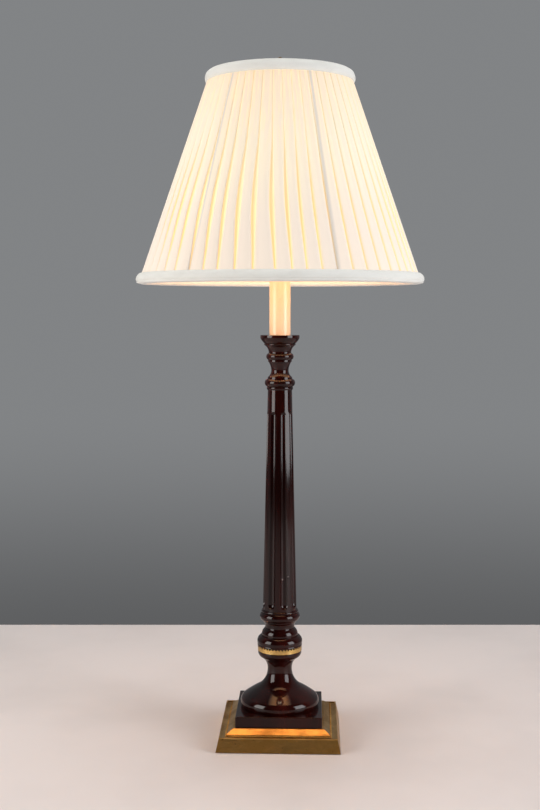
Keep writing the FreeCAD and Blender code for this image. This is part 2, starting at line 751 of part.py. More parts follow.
def make_base_weight():
    body = new_body("base_weight", "weight_bottom")
    pad(body, square(body, "weight_side", "0"), "weight_slab_height")
    pad(body, square(body, "weight_boss_side", "0"), "weight_height")
    pocket(body, draw_circle(new_sketch(body, "XY_Plane"), "nut_recess_radius"), "nut_recess_depth", reverse=True)
    pocket(body, draw_circle(new_sketch(body, "XY_Plane"), "pipe_hole_radius"), "weight_height", reverse=True)
    channel = draw_rectangle(new_sketch(body, "XZ_Plane"), "cord_channel_width", "2 * cord_channel_depth")
    pocket(body, channel, "weight_side", reverse=False)


def make_cord_bushing():
    """Round bushing on its side: flange outside the back skirt, body through it."""
    body = new_body("cord_bushing")
    body.Placement.Rotation = FreeCAD.Rotation(FreeCAD.Vector(1, 0, 0), -90)
    body.setExpression("Placement.Base.y", bound("inlet_face - inlet_depth"))
    body.setExpression("Placement.Base.z", bound("inlet_height"))
    reach = "inlet_depth + inlet_flange_thickness"
    revolve(body, ("inlet_bore_radius", "0"),
            [("inlet_body_radius", "0"), ("inlet_body_radius", "inlet_depth"),
             ("inlet_flange_radius", "inlet_depth"), ("inlet_flange_radius", reach),
             ("inlet_bore_radius", reach)])


# ---- pipe and fasteners under the base ----

def make_pipe():
    ring("threaded_pipe", "pipe_bore_radius", "pipe_radius", "pipe_length", "pipe_bottom")


def make_bottom_fasteners():
    ring("bottom_washer", "pipe_hole_radius", "washer_radius", "washer_thickness", "washer_bottom")
    washer = ring("lock_washer", "pipe_hole_radius", "lock_washer_radius", "lock_washer_thickness",
                  "lock_washer_bottom")
    notch = draw_circle(new_sketch(washer, "XY_Plane"), "lock_washer_tooth_radius", across="lock_washer_radius")
    around(washer, [pocket(washer, notch, "lock_washer_thickness", reverse=True)], "lock_washer_teeth")
    nut = new_body("bottom_nut", "nut_bottom")
    flat = value("nut_across_flats") / 2
    sketch = new_sketch(nut, "XY_Plane")
    corner = flat / math.cos(math.pi / 6)
    points = [FreeCAD.Vector(corner * math.cos(k * math.pi / 3), corner * math.sin(k * math.pi / 3), 0)
              for k in range(6)]
    for k in range(6):
        sketch.addGeometry(Part.LineSegment(points[k], points[(k + 1) % 6]), False)
    guide = sketch.addGeometry(Part.Circle(FreeCAD.Vector(0, 0, 0), FreeCAD.Vector(0, 0, 1), corner), True)
    for k in range(6):
        sketch.addConstraint(Sketcher.Constraint("Coincident", k, 2, (k + 1) % 6, 1))
        sketch.addConstraint(Sketcher.Constraint("PointOnObject", k, 1, guide))
        if k:
            sketch.addConstraint(Sketcher.Constraint("Equal", 0, k))
    sketch.addConstraint(Sketcher.Constraint("Coincident", guide, 3, -1, 1))
    sketch.addConstraint(Sketcher.Constraint("PointOnObject", 0, 1, -1))
    number = sketch.addConstraint(Sketcher.Constraint("Radius", guide, corner))
    sketch.setExpression("Constraints[%d]" % number, bound("nut_across_flats / sqrt(3)"))
    pad(nut, sketch, "nut_height")
    pocket(nut, draw_circle(new_sketch(nut, "XY_Plane"), "pipe_clear_radius"), "nut_height", reverse=True)


# ---- wood column ----

def make_plinth():
    body = new_body("wood_plinth", "base_top")
    pad(body, square(body, "plinth_side", "0"), "plinth_height")
    half = value("plinth_height / 2")
    round_edges(body, "plinth_edge_radius", lambda edge: edge.CenterOfMass.z >= half)
    pocket(body, draw_circle(new_sketch(body, "XY_Plane"), "pipe_hole_radius"), "plinth_height", reverse=True)


def make_bell_foot():
    turned_piece("bell_foot", ("pipe_hole_radius", "0"), [
        ("foot_bottom_radius", "0"),
        ("foot_rim_top_radius", "foot_rim_height", "foot_rim_bow"),
        ("foot_slope_radius", "foot_slope_height", "foot_slope_bow"),
        ("foot_neck_radius", "foot_neck_height", "foot_bell_bow"),
        ("foot_flare_radius", "foot_flare_height", "foot_flare_bow"),
        ("foot_lip_radius", "foot_height", "foot_lip_bow"),
        ("pipe_hole_radius", "foot_height"),
    ], "plinth_top")


def make_gallery_band():
    band = ring("gallery_band", "band_inner_radius", "band_radius", "band_height - band_gap",
                "foot_top + band_gap / 2")
    notch = draw_circle(new_sketch(band, "XZ_Plane", "band_radius + cut_margin"), "band_scallop_radius",
                        up="band_height - band_gap - band_scallop_radius / 4")
    around(band, [pocket(band, notch, "band_radius - band_inner_radius + 2 * cut_margin")], "band_scallops")


def make_turned_collar():
    turned_piece("turned_collar", ("pipe_hole_radius", "0"), [
        ("band_inner_radius - band_gap", "0"),
        ("band_inner_radius - band_gap", "band_height"),
        ("collar_body_radius", "band_height"),
        ("collar_groove_radius", "collar_groove_height", "collar_lower_bow"),
        ("collar_shoulder_radius", "collar_shoulder_height", "collar_shoulder_bow"),
        ("collar_step_radius", "collar_shoulder_height"),
        ("collar_roll_radius", "collar_roll_height", "collar_roll_bow"),
        ("collar_neck_radius", "collar_neck_height"),
        ("collar_cove_radius", "collar_cove_height", "collar_cove_bow"),
        ("collar_ring_bottom_radius", "collar_ring_bottom_height"),
        ("collar_ring_top_radius", "collar_ring_top_height", "collar_ring_bow"),
        ("collar_cap_radius", "collar_ring_top_height"),
        ("collar_cap_radius", "collar_height", "collar_cap_bow"),
        ("pipe_hole_radius", "collar_height"),
    ], "foot_top")


def make_fluted_shaft():
    """Tapered shaft; each flute is a long round-ended scoop, cut away from the turned face's seam."""
    half_pitch = "180 / flute_count"
    body = new_body("fluted_shaft", "collar_top", turn="flute_phase - " + half_pitch)
    revolve(body, ("pipe_hole_radius", "0"), [
        ("shaft_bottom_radius", "0"),
        ("shaft_top_radius", "shaft_height"),
        ("pipe_hole_radius", "shaft_height"),
    ])
    quarter_bow = "%s * (1 - sqrt(0.5))"
    low, high = "flute_bottom_radius", "flute_top_radius"
    start = ("flute_low_across + %s * flute_sin" % low, "flute_bottom_height - %s * flute_cos" % low)
    scoop = draw(new_sketch(body, "XZ_Plane", turn=half_pitch), start, [
        ("flute_low_across + %s * flute_cos" % low, "flute_bottom_height + %s * flute_sin" % low,
         quarter_bow % low),
        ("flute_high_across + %s * flute_cos" % high, "flute_top_height + %s * flute_sin" % high),
        ("flute_high_across - %s * flute_sin" % high, "flute_top_height + %s * flute_cos" % high,
         quarter_bow % high),
    ])
    flute = body.newObject("PartDesign::Groove", "flute")
    flute.Profile = scoop
    flute.ReferenceAxis = (scoop, ["Edge4"])
    flute.Angle = 360
    around(body, [flute], "flute_count")


def make_capital():
    turned_piece("capital", ("pipe_hole_radius", "0"), [
        ("capital_foot_radius", "0"),
        ("capital_foot_radius", "capital_foot_height"),
        ("capital_step_radius", "capital_foot_height"),
        ("capital_step_radius", "capital_ring_bottom", "capital_step_bow"),
        ("capital_ring_side_radius", "capital_ring_bottom"),
        ("capital_ring_side_radius", "capital_ring_top", "capital_ring_bow"),
        ("capital_step_radius", "capital_ring_top"),
        ("capital_vase_radius", "capital_vase_bottom"),
        ("capital_neck_radius", "capital_neck_height", "capital_vase_bow"),
        ("capital_flare_radius", "capital_flare_height", "capital_flare_bow"),
        ("capital_fillet_radius", "capital_flare_height"),
        ("capital_fillet_radius", "capital_bead_bottom"),
        ("capital_bead_side_radius", "capital_bead_bottom"),
        ("capital_bead_side_radius", "capital_bead_top", "capital_bead_bow"),
        ("capital_waist_radius", "capital_bead_top"),
        ("capital_waist_radius", "capital_bowl_bottom"),
        ("capital_bowl_radius", "capital_bowl_top", "capital_bowl_bow"),
        ("capital_bowl_radius", "capital_line_top", "capital_line_bow"),
        ("capital_cup_radius", "capital_cup_top", "capital_cup_bow"),
        ("capital_cup_radius", "capital_height", "capital_rim_bow"),
        ("candle_radius + candle_seat_gap", "capital_height"),
        ("candle_radius + candle_seat_gap", "capital_height - candle_seat_depth"),
        ("pipe_hole_radius", "capital_height - candle_seat_depth"),
    ], "shaft_top")


# ---- candle sleeve and harp saddle ----

def make_candle_sleeve():
    ring("candle_sleeve", "candle_radius - candle_wall", "candle_radius", "candle_height", "candle_bottom")
    spigot = "candle_radius - candle_wall - candle_seat_gap"
    top = "sleeve_cap_spigot + sleeve_cap_thickness"
    turned_piece("sleeve_cap", ("pipe_hole_radius", "0"), [
        (spigot, "0"),
        (spigot, "sleeve_cap_spigot"),
        ("sleeve_cap_radius", "sleeve_cap_spigot"),
        ("sleeve_cap_radius", top),
        ("pipe_hole_radius", top),
    ], "candle_top - sleeve_cap_spigot")


def make_harp_saddle():
    """Bent strip under the lampholder, with a narrow tongue at each end for the harp's feet."""
    body = new_body("harp_saddle", "saddle_bottom")
    outer = "saddle_reach + saddle_thickness / 2"
    inner = "saddle_reach - saddle_thickness / 2"
    bend_out = "saddle_bend_radius + saddle_thickness"
    quarter_bow = "%s * (1 - sqrt(0.5))"
    strip = draw(new_sketch(body, "XZ_Plane"), ("0", "0"), [
        (outer + " - (%s)" % bend_out, "0"),
        (outer, bend_out, quarter_bow % ("(%s)" % bend_out)),
        (outer, "saddle_arm_height"),
        (inner, "saddle_arm_height"),
        (inner, bend_out),
        (inner + " - saddle_bend_radius", "saddle_thickness", "-" + quarter_bow % "saddle_bend_radius"),
        ("0", "saddle_thickness"),
    ])
    arm = pad(body, strip, "saddle_width", midplane=True)
    tongue_top = "saddle_arm_height + saddle_tongue_height"
    tongue = draw(new_sketch(body, "XZ_Plane"), (outer, "saddle_arm_height"), [
        (outer, tongue_top), (inner, tongue_top), (inner, "saddle_arm_height")])
    tip = pad(body, tongue, "saddle_tongue_width", midplane=True)
    mirror(body, [arm, tip])
    pocket(body, draw_circle(new_sketch(body, "XY_Plane"), "pipe_hole_radius"), "saddle_thickness", reverse=True)


# ---- lampholder ----

def make_socket_cap():
    body = turned_piece("socket_cap", ("pipe_clear_radius", "0"), [
        ("cap_hub_radius", "0"),
        ("cap_hub_radius", "cap_hub_height"),
        ("cap_rim_radius", "cap_height - cap_rim_height", "cap_bowl_bow"),
        ("cap_rim_radius", "cap_height"),
        ("cap_rim_radius - cap_wall", "cap_height"),
        ("cap_rim_radius - cap_wall", "cap_height - cap_rim_height"),
        ("cap_hub_radius", "cap_hub_height + cap_wall", "-cap_bowl_bow"),
        ("pipe_clear_radius", "cap_hub_height + cap_wall"),
    ], "cap_bottom")
    tapped = draw_circle(new_sketch(body, "YZ_Plane"), "set_screw_radius + thread_gap", up="cap_hub_height / 2")
    pocket(body, tapped, "cap_hub_radius + set_screw_length", reverse=True)
    screw = new_body("set_screw", "cap_bottom + cap_hub_height / 2")
    shank = draw_circle(new_sketch(screw, "YZ_Plane", "pipe_radius + thread_gap"), "set_screw_radius")
    pad(screw, shank, "set_screw_length")


def notch_for_switch(body):
    """Slot from the piece's lower edge up to the switch shaft, on the front only."""
    hole = draw_circle(new_sketch(body, "XZ_Plane"), "switch_notch_radius", up="switch_height")
    pocket(body, hole, "2 * shell_radius", reverse=True)
    slot = draw_rectangle(new_sketch(body, "XZ_Plane"), "2 * switch_notch_radius", "switch_height",
                          up="switch_height / 2")
    pocket(body, slot, "2 * shell_radius", reverse=True)


def make_socket_interior():
    holder = turned_piece("socket_body", ("holder_bore_radius", "0"), [
        ("holder_radius", "0"),
        ("holder_radius", "holder_height"),
        ("holder_well_radius", "holder_height"),
        ("holder_well_radius", "holder_height - holder_well_depth"),
        ("holder_bore_radius", "holder_height - holder_well_depth"),
    ], "holder_bottom")
    shaft_hole = draw_circle(new_sketch(holder, "XZ_Plane"), "switch_hole_radius", up="switch_height")
    pocket(holder, shaft_hole, "2 * holder_radius", reverse=True)
    for side, sign in (("left", "-"), ("right", "")):
        screw = new_body("terminal_screw_" + side, "holder_bottom - terminal_length",
                         across=sign + "terminal_spread")
        pad(screw, draw_circle(new_sketch(screw, "XY_Plane"), "terminal_radius"), "terminal_length")
    contact = new_body("centre_contact", "contact_bottom", across="contact_pad / 2 - contact_length")
    raised = "contact_rise + contact_thickness"
    leaf = draw(new_sketch(contact, "XZ_Plane"), ("0", "0"), [
        ("contact_root", "0"),
        ("contact_root + contact_slope", "contact_rise"),
        ("contact_length", "contact_rise"),
        ("contact_length", raised),
        ("contact_root + contact_slope", raised),
        ("contact_root", "contact_thickness"),
        ("0", "contact_thickness"),
    ])
    pad(contact, leaf, "contact_width", midplane=True)
    ring("screw_shell", "screw_shell_radius - screw_shell_wall", "screw_shell_radius", "screw_shell_height",
         "screw_shell_bottom")


def make_socket_covers():
    sleeve = ring("insulating_sleeve", "insulator_radius - insulator_wall", "insulator_radius",
                  "shell_height - shell_wall", "shell_bottom")
    notch_for_switch(sleeve)
    bead_bottom = "shell_height - 2 * shell_bead_height"
    bead_top = "shell_height - shell_bead_height"
    shell = turned_piece("socket_shell", ("shell_radius - shell_wall", "0"), [
        ("shell_radius", "0"),
        ("shell_radius", bead_bottom),
        ("shell_radius", bead_top, "shell_bead_bow"),
        ("shell_radius", "shell_height"),
        ("shell_radius - shell_wall", "shell_height"),
    ], "shell_bottom")
    notch_for_switch(shell)


def make_switch():
    """Shaft and knob lie across the lamp: their own z axis points to the front."""
    forward = FreeCAD.Rotation(FreeCAD.Vector(1, 0, 0), 90)
    shaft = ring("switch_shaft", "0", "switch_shaft_radius", "switch_shaft_length", "switch_level")
    shaft.Placement.Rotation = forward
    shaft.setExpression("Placement.Base.y", bound("-switch_shaft_start"))
    bore = "switch_shaft_radius + thread_gap"
    knob = turned_piece("switch_knob", ("0", "switch_knob_length"), [
        ("0", "switch_knob_socket"),
        (bore, "switch_knob_socket"),
        (bore, "0"),
        ("switch_knob_neck_radius", "0"),
        ("switch_knob_neck_radius", "switch_knob_neck_length"),
        ("switch_knob_radius", "switch_knob_neck_length"),
        ("switch_knob_radius", "switch_knob_length", "switch_knob_bow"),
    ], "switch_level")
    groove = draw_circle(new_sketch(knob, "XY_Plane", "switch_knob_neck_length"), "switch_knob_groove_radius",
                         across="switch_knob_radius + switch_knob_bow")
    around(knob, [pocket(knob, groove, "switch_knob_length", reverse=True)], "switch_knob_grooves")
    knob.Placement.Rotation = forward
    knob.setExpression("Placement.Base.y", bound("-switch_knob_start"))


# ---- bulb ----

def make_bulb_base():
    turned_piece("bulb_tip", ("0", "0"), [
        ("bulb_tip_radius", "bulb_tip_height", "bulb_tip_height / 4"),
        ("0", "bulb_tip_height"),
    ], "bulb_tip_bottom")
    turned_piece("bulb_insulator", ("0", "0"), [
        ("bulb_tip_radius", "0"),
        ("bulb_insulator_radius", "bulb_insulator_height"),
        ("0", "bulb_insulator_height"),
    ], "bulb_insulator_bottom")
    ridges = int(value("bulb_cap_ridges"))
    pitch = "(bulb_cap_height - bulb_cap_foot_rise - bulb_cap_collar) / bulb_cap_ridges"
    thread = [("bulb_cap_radius", "bulb_cap_foot_rise + %d * %s" % (turn + 1, pitch), "bulb_cap_ridge_bow")
              for turn in range(ridges)]
    turned_piece("bulb_cap", ("bulb_insulator_radius - bulb_cap_wall", "0"), [
        ("bulb_insulator_radius", "0"),
        ("bulb_cap_radius", "bulb_cap_foot_rise"),
    ] + thread + [
        ("bulb_cap_radius", "bulb_cap_height"),
        ("bulb_cap_radius - bulb_cap_wall", "bulb_cap_height"),
        ("bulb_cap_radius - bulb_cap_wall", "bulb_cap_foot_rise"),
    ], "bulb_cap_bottom")


def make_bulb_glass():
    wall = "bulb_glass_wall"
    turned_piece("bulb_glass", ("bulb_neck_radius - " + wall, "0"), [
        ("bulb_neck_radius", "0"),
        ("bulb_neck_radius", "bulb_neck_rise"),
        ("bulb_shoulder_radius", "bulb_shoulder_height", "bulb_shoulder_bow"),
        ("bulb_globe_radius", "bulb_globe_height", "bulb_globe_bow"),
        ("bulb_crown_radius", "bulb_dome_height", "bulb_dome_bow"),
        ("0", "bulb_dome_height"),
        ("0", "bulb_dome_height - " + wall),
        ("bulb_crown_radius", "bulb_dome_height - " + wall),
        ("bulb_globe_radius - " + wall, "bulb_globe_height", "-bulb_dome_bow"),
        ("bulb_shoulder_radius - " + wall, "bulb_shoulder_height", "-bulb_globe_bow"),
        ("bulb_neck_radius - " + wall, "bulb_neck_rise", "-bulb_shoulder_bow"),
    ], "bulb_glass_bottom")
    turned_piece("bulb_stem", ("0", "0"), [
        ("bulb_neck_radius - " + wall, "0"),
        ("bulb_stem_radius", "bulb_stem_flare_rise", "bulb_stem_flare_bow"),
        ("bulb_stem_top_radius", "bulb_stem_height"),
        ("0", "bulb_stem_height"),
    ], "bulb_glass_bottom")
    filament = new_body("filament", "bulb_glass_bottom")
    top = "bulb_stem_height + filament_rise"
    path = draw(new_sketch(filament, "XZ_Plane"), ("0", top), [
        ("filament_half_span", top),
        ("filament_foot_radius", "bulb_stem_height - filament_bite"),
    ], closed=False)
    section = draw_circle(new_sketch(filament, "YZ_Plane"), "filament_radius", up=top)
    half = sweep(filament, section, path)
    half.Transition = "Right corner"
    mirror(filament, [half])


# ---- harp ----

def make_harp():
    """Wire bow with a slotted foot at each end that stands over the saddle's tongue."""
    body = new_body("harp", "harp_foot_bottom")
    path = draw(new_sketch(body, "XZ_Plane"), ("saddle_reach", "harp_foot_height - harp_wire_radius"), [
        ("saddle_reach", "harp_leg_height"),
        ("harp_bend_across", "harp_bend_height", "-harp_lower_bend * (1 - cos(harp_splay * 0.5 deg))"),
        ("harp_side_across", "harp_side_height", "harp_upper_bend * (1 - cos((harp_splay + harp_lean) * 0.5 deg))"),
        ("harp_arch_across", "harp_arch_height"),
        ("harp_crown_across", "harp_top_height", "harp_top_bend * (1 - cos((90 - harp_lean) * 0.5 deg))"),
        ("0", "harp_top_height"),
    ], closed=False)
    section = draw_circle(new_sketch(body, "XY_Plane", "harp_foot_height - harp_wire_radius"),
                          "harp_wire_radius", across="saddle_reach")
    bow = sweep(body, section, path)
    foot = pad(body, draw_circle(new_sketch(body, "XY_Plane"), "harp_foot_radius", across="saddle_reach"),
               "harp_foot_height")
    slot = draw_rectangle(new_sketch(body, "XY_Plane"), "saddle_thickness + 2 * harp_slot_gap",
                          "3 * harp_foot_radius", across="saddle_reach")
    cut = pocket(body, slot, "saddle_tongue_height - harp_foot_lift + harp_slot_gap", reverse=True)
    mirror(body, [bow, foot, cut])


def make_harp_stud():
    """Threaded stud with the shade seat; the harp's wire runs through its collar."""
    flange_top = "2 * stud_collar_half_height + stud_flange_thickness"
    body = turned_piece("harp_stud", ("0", "0"), [
        ("stud_collar_radius", "0"),
        ("stud_collar_radius", "2 * stud_collar_half_height"),
        ("stud_flange_radius", "2 * stud_collar_half_height"),
        ("stud_flange_radius", flange_top),
        ("stud_radius", flange_top),
        ("stud_radius", flange_top + " + stud_length"),
        ("0", flange_top + " + stud_length"),
    ], "stud_level - stud_collar_half_height")
    cross_hole = draw_circle(new_sketch(body, "YZ_Plane"), "harp_wire_radius + thread_gap",
                             up="stud_collar_half_height")
    pocket(body, cross_hole, "3 * stud_collar_radius", midplane=True)


def make_ferrules():
    for side, sign in (("left", "-"), ("right", "")):
        outer = "ferrule_bore_radius + ferrule_wall"
        turned_piece("ferrule_" + side, ("ferrule_bore_radius", "0"), [
            (outer, "0"),
            (outer, "ferrule_height", "ferrule_bead_bow"),
            ("ferrule_bore_radius", "ferrule_height"),
        ], "ferrule_bottom", across=sign + "saddle_reach")


# ---- shade frame ----

def wire_ring(label, radius, bottom):
    body = new_body(label, bottom)
    sketch = draw_circle(new_sketch(body, "XZ_Plane"), "frame_wire_radius", across=radius)
    turned = body.newObject("PartDesign::Revolution", label + "_turned")
    turned.Profile = sketch
    turned.ReferenceAxis = (sketch, ["V_Axis"])
    turned.Angle = 360


def rod(label, start, towards, length, turn):
    """Straight wire in a plane through the lamp's axis, turned about that axis."""
    wire = document.addObject("Part::Cylinder", label)
    wire.Label = label
    wire.setExpression("Radius", bound("frame_wire_radius"))
    wire.setExpression("Height", bound(length))
    about_axis = FreeCAD.Rotation(FreeCAD.Vector(0, 0, 1), value(turn))
    lean = FreeCAD.Rotation(FreeCAD.Vector(0, 0, 1), towards - start)
    wire.Placement = FreeCAD.Placement(about_axis.multVec(start), about_axis * lean)
    pieces.append(wire)


def make_shade_frame():
    wire_ring("shade_bottom_ring", "ring_bottom_radius", "shade_bottom + ring_bottom_height")
    wire_ring("shade_top_ring", "ring_top_radius", "shade_bottom + ring_top_height")
    ring("shade_washer", "washer_hub_bore_radius", "washer_hub_radius", "washer_hub_thickness", "hub_bottom")
    hub_edge = FreeCAD.Vector(value("washer_hub_radius - weld_bite"), 0, value("hub_bottom + spider_level"))
    low = FreeCAD.Vector(value("ring_bottom_radius"), 0, value("shade_bottom + ring_bottom_height"))
    high = FreeCAD.Vector(value("ring_top_radius"), 0, value("shade_bottom + ring_top_height"))
    for index in range(int(value("spider_count"))):
        rod("spider_arm_%d" % (index + 1), hub_edge, high, "spider_length",
            "spider_phase + %d * 360 / spider_count" % index)
    weld = (high - low).normalize() * value("weld_offset")
    for index in range(int(value("rib_count"))):
        rod("shade_rib_%d" % (index + 1), low + weld, high, "rib_length",
            "rib_phase + %d * 360 / rib_count" % index)


# ---- shade cloth ----

def pleated_wire(level, depth, inset):
    """Closed outline of the pleated cloth at one height: broad faces with a narrow valley between."""
    radius = value("cover_bottom_radius - cover_slope * %s" % level) - inset
    count = int(value("pleat_count"))
    share = value("pleat_face_share")
    points = []
    for pleat in range(count):
        for part, sink in ((0, 0), (share, 0), ((1 + share) / 2, depth)):
            angle = 2 * math.pi * (pleat + part) / count
            points.append(FreeCAD.Vector((radius - sink) * math.cos(angle), (radius - sink) * math.sin(angle),
                                         value(level)))
    return Part.makePolygon(points + points[:1])


def make_shade_cover():
    """Pleated cone of cloth, open at both ends; the pleats flatten towards the top."""
    skins = []
    for inset in (0, value("cover_thickness")):
        low = pleated_wire("cover_edge_inset", value("pleat_depth_bottom"), inset)
        high = pleated_wire("cover_top_height", value("pleat_depth_top"), inset)
        skins.append(Part.makeLoft([low, high], True, True))
    cover = document.addObject("Part::Feature", "shade_cover")
    cover.Label = "shade_cover"
    cover.Shape = skins[0].cut(skins[1])
    cover.Placement.Base.z = value("shade_bottom")
    pieces.append(cover)


def make_shade_lining():
    outer_low = "cover_bottom_radius - cover_slope * cover_edge_inset - lining_inset_bottom"
    outer_high = "cover_bottom_radius - cover_slope * lining_top_height - lining_inset_top"
    turned_piece("shade_lining", (outer_low + " - lining_thickness", "cover_edge_inset"), [
        (outer_low, "cover_edge_inset"),
        (outer_high, "lining_top_height"),
        (outer_high + " - lining_thickness", "lining_top_height"),
    ], "shade_bottom")


def make_trims():
    """Rolled cloth trims: each folds over one edge of the shade, outside and in."""
    def outer(level):
        return "cover_bottom_radius - cover_slope * (%s) + trim_gap" % level

    def inner(level, inset):
        return "cover_bottom_radius - cover_slope * (%s) - %s - lining_thickness - trim_gap" % (level, inset)

    floor = "cover_edge_inset - trim_gap"
    turn_in = "trim_height / 2"
    turned_piece("bottom_trim", (inner("0", "lining_inset_bottom") + " - trim_wall", "0"), [
        (outer("0") + " + trim_wall", "0"),
        (outer("trim_height") + " + trim_edge", "trim_height", "trim_bow_bottom"),
        (outer("trim_height"), "trim_height"),
        (outer(floor), floor),
        (inner(floor, "lining_inset_bottom"), floor),
        (inner(turn_in, "lining_inset_bottom"), turn_in),
        (inner(turn_in, "lining_inset_bottom") + " - trim_wall", turn_in),
    ], "shade_bottom")
    top = "shade_height"
    roof = "shade_height - " + "(%s)" % floor
    turn_down = "ring_top_height + frame_wire_radius + trim_gap"
    hem = "shade_height - trim_height"
    turned_piece("top_trim", (outer(hem), hem), [
        (outer(hem) + " + trim_edge", hem),
        (outer(top) + " + trim_wall", top, "trim_bow_top"),
        (inner(top, "lining_inset_top") + " - trim_wall", top),
        (inner(turn_down, "lining_inset_top") + " - trim_wall", turn_down),
        (inner(turn_down, "lining_inset_top"), turn_down),
        (inner(roof, "lining_inset_top"), roof),
        (outer(roof), roof),
    ], "shade_bottom")


def make_finial():
    turned_piece("finial", ("finial_bore_radius", "0"), [
        ("finial_base_radius", "0"),
        ("finial_base_radius", "finial_base_height", "finial_base_bow"),
        ("finial_neck_radius", "finial_neck_height", "finial_neck_bow"),
        ("finial_body_radius", "finial_body_height", "finial_body_bow"),
        ("finial_shoulder_radius", "finial_shoulder_height", "finial_shoulder_bow"),
        ("finial_waist_radius", "finial_waist_height", "finial_waist_bow"),
        ("finial_knob_radius", "finial_knob_height", "finial_knob_bow"),
        ("finial_tip_radius", "finial_height", "finial_tip_bow"),
        ("0", "finial_height"),
        ("0", "finial_bore_depth"),
        ("finial_bore_radius", "finial_bore_depth"),
    ], "finial_bottom")


make_felt_pad()
make_brass_base()
make_base_weight()
make_cord_bushing()
make_pipe()
make_bottom_fasteners()
make_plinth()
make_bell_foot()
make_gallery_band()
make_turned_collar()
make_fluted_shaft()
make_capital()
make_candle_sleeve()
make_harp_saddle()
make_socket_cap()
make_socket_interior()
make_socket_covers()
make_switch()
make_bulb_base()
make_bulb_glass()
make_harp()
make_harp_stud()
make_ferrules()
make_shade_frame()
make_shade_cover()
make_shade_lining()
make_trims()
make_finial()
document.recompute()

for item in document.Objects:
    if "Invalid" in item.State or "Error" in item.State:
        raise RuntimeError("failed: " + item.Label)
os.makedirs("parts", exist_ok=True)
for piece in pieces:
    if piece.Shape.isNull() or not piece.Shape.isValid():
        raise RuntimeError("bad shape: " + piece.Label)
    piece.Shape.exportStep("parts/" + piece.Label + ".step")
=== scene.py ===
import json
import math

import bmesh
import bpy
from mathutils import Matrix, Vector


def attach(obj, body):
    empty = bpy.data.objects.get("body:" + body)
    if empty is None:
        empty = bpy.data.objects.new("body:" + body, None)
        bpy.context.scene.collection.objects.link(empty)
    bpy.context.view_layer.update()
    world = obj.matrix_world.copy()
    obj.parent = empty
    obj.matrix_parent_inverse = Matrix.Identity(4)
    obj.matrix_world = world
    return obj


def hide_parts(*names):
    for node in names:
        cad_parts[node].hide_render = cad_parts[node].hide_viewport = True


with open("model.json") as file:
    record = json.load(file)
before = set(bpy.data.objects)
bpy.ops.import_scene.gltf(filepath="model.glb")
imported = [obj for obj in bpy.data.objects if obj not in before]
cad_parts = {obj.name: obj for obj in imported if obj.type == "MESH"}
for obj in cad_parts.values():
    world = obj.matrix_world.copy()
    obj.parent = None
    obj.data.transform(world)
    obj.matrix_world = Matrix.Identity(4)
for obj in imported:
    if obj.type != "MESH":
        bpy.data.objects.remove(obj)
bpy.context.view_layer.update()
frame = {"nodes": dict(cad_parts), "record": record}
nodes = frame["nodes"]
print("frame loaded:", len(nodes), "nodes")


# camera, standing where the photograph was taken from

camera = {
    "place": (0.0376, -1.3802, 0.4863),
    "ahead": (-0.0353, 0.9994),
    "pitch": -4.49,
    "lens": 54.7,
    "sensor": 36.0,
    "clip": (0.05, 30.0),
}


def setCamera():
    data = bpy.data.cameras.new("camera")
    data.lens = camera["lens"]
    data.sensor_width = camera["sensor"]
    data.clip_start, data.clip_end = camera["clip"]
    eye = bpy.data.objects.new("camera", data)
    bpy.context.scene.collection.objects.link(eye)
    eye.location = camera["place"]
    pitch = math.radians(camera["pitch"])
    flat = math.cos(pitch)
    look = Vector((camera["ahead"][0] * flat, camera["ahead"][1] * flat, math.sin(pitch)))
    eye.rotation_mode = "QUATERNION"
    eye.rotation_quaternion = look.to_track_quat("-Z", "Y")
    bpy.context.scene.camera = eye


setCamera()


# shader maths: a value wraps one socket, so materials read as sums

class Value:
    def __init__(self, recipe, socket):
        self.recipe, self.socket = recipe, socket

    def __add__(self, other):
        return self.recipe.maths("ADD", self, other)

    def __radd__(self, other):
        return self.recipe.maths("ADD", other, self)

    def __sub__(self, other):
        return self.recipe.maths("SUBTRACT", self, other)

    def __rsub__(self, other):
        return self.recipe.maths("SUBTRACT", other, self)

    def __mul__(self, other):
        return self.recipe.maths("MULTIPLY", self, other)

    def __rmul__(self, other):
        return self.recipe.maths("MULTIPLY", other, self)

    def __truediv__(self, other):
        return self.recipe.maths("DIVIDE", self, other)

    def __rtruediv__(self, other):
        return self.recipe.maths("DIVIDE", other, self)

    def __pow__(self, other):
        return self.recipe.maths("POWER", self, other)

    def __rpow__(self, other):
        return self.recipe.maths("POWER", other, self)


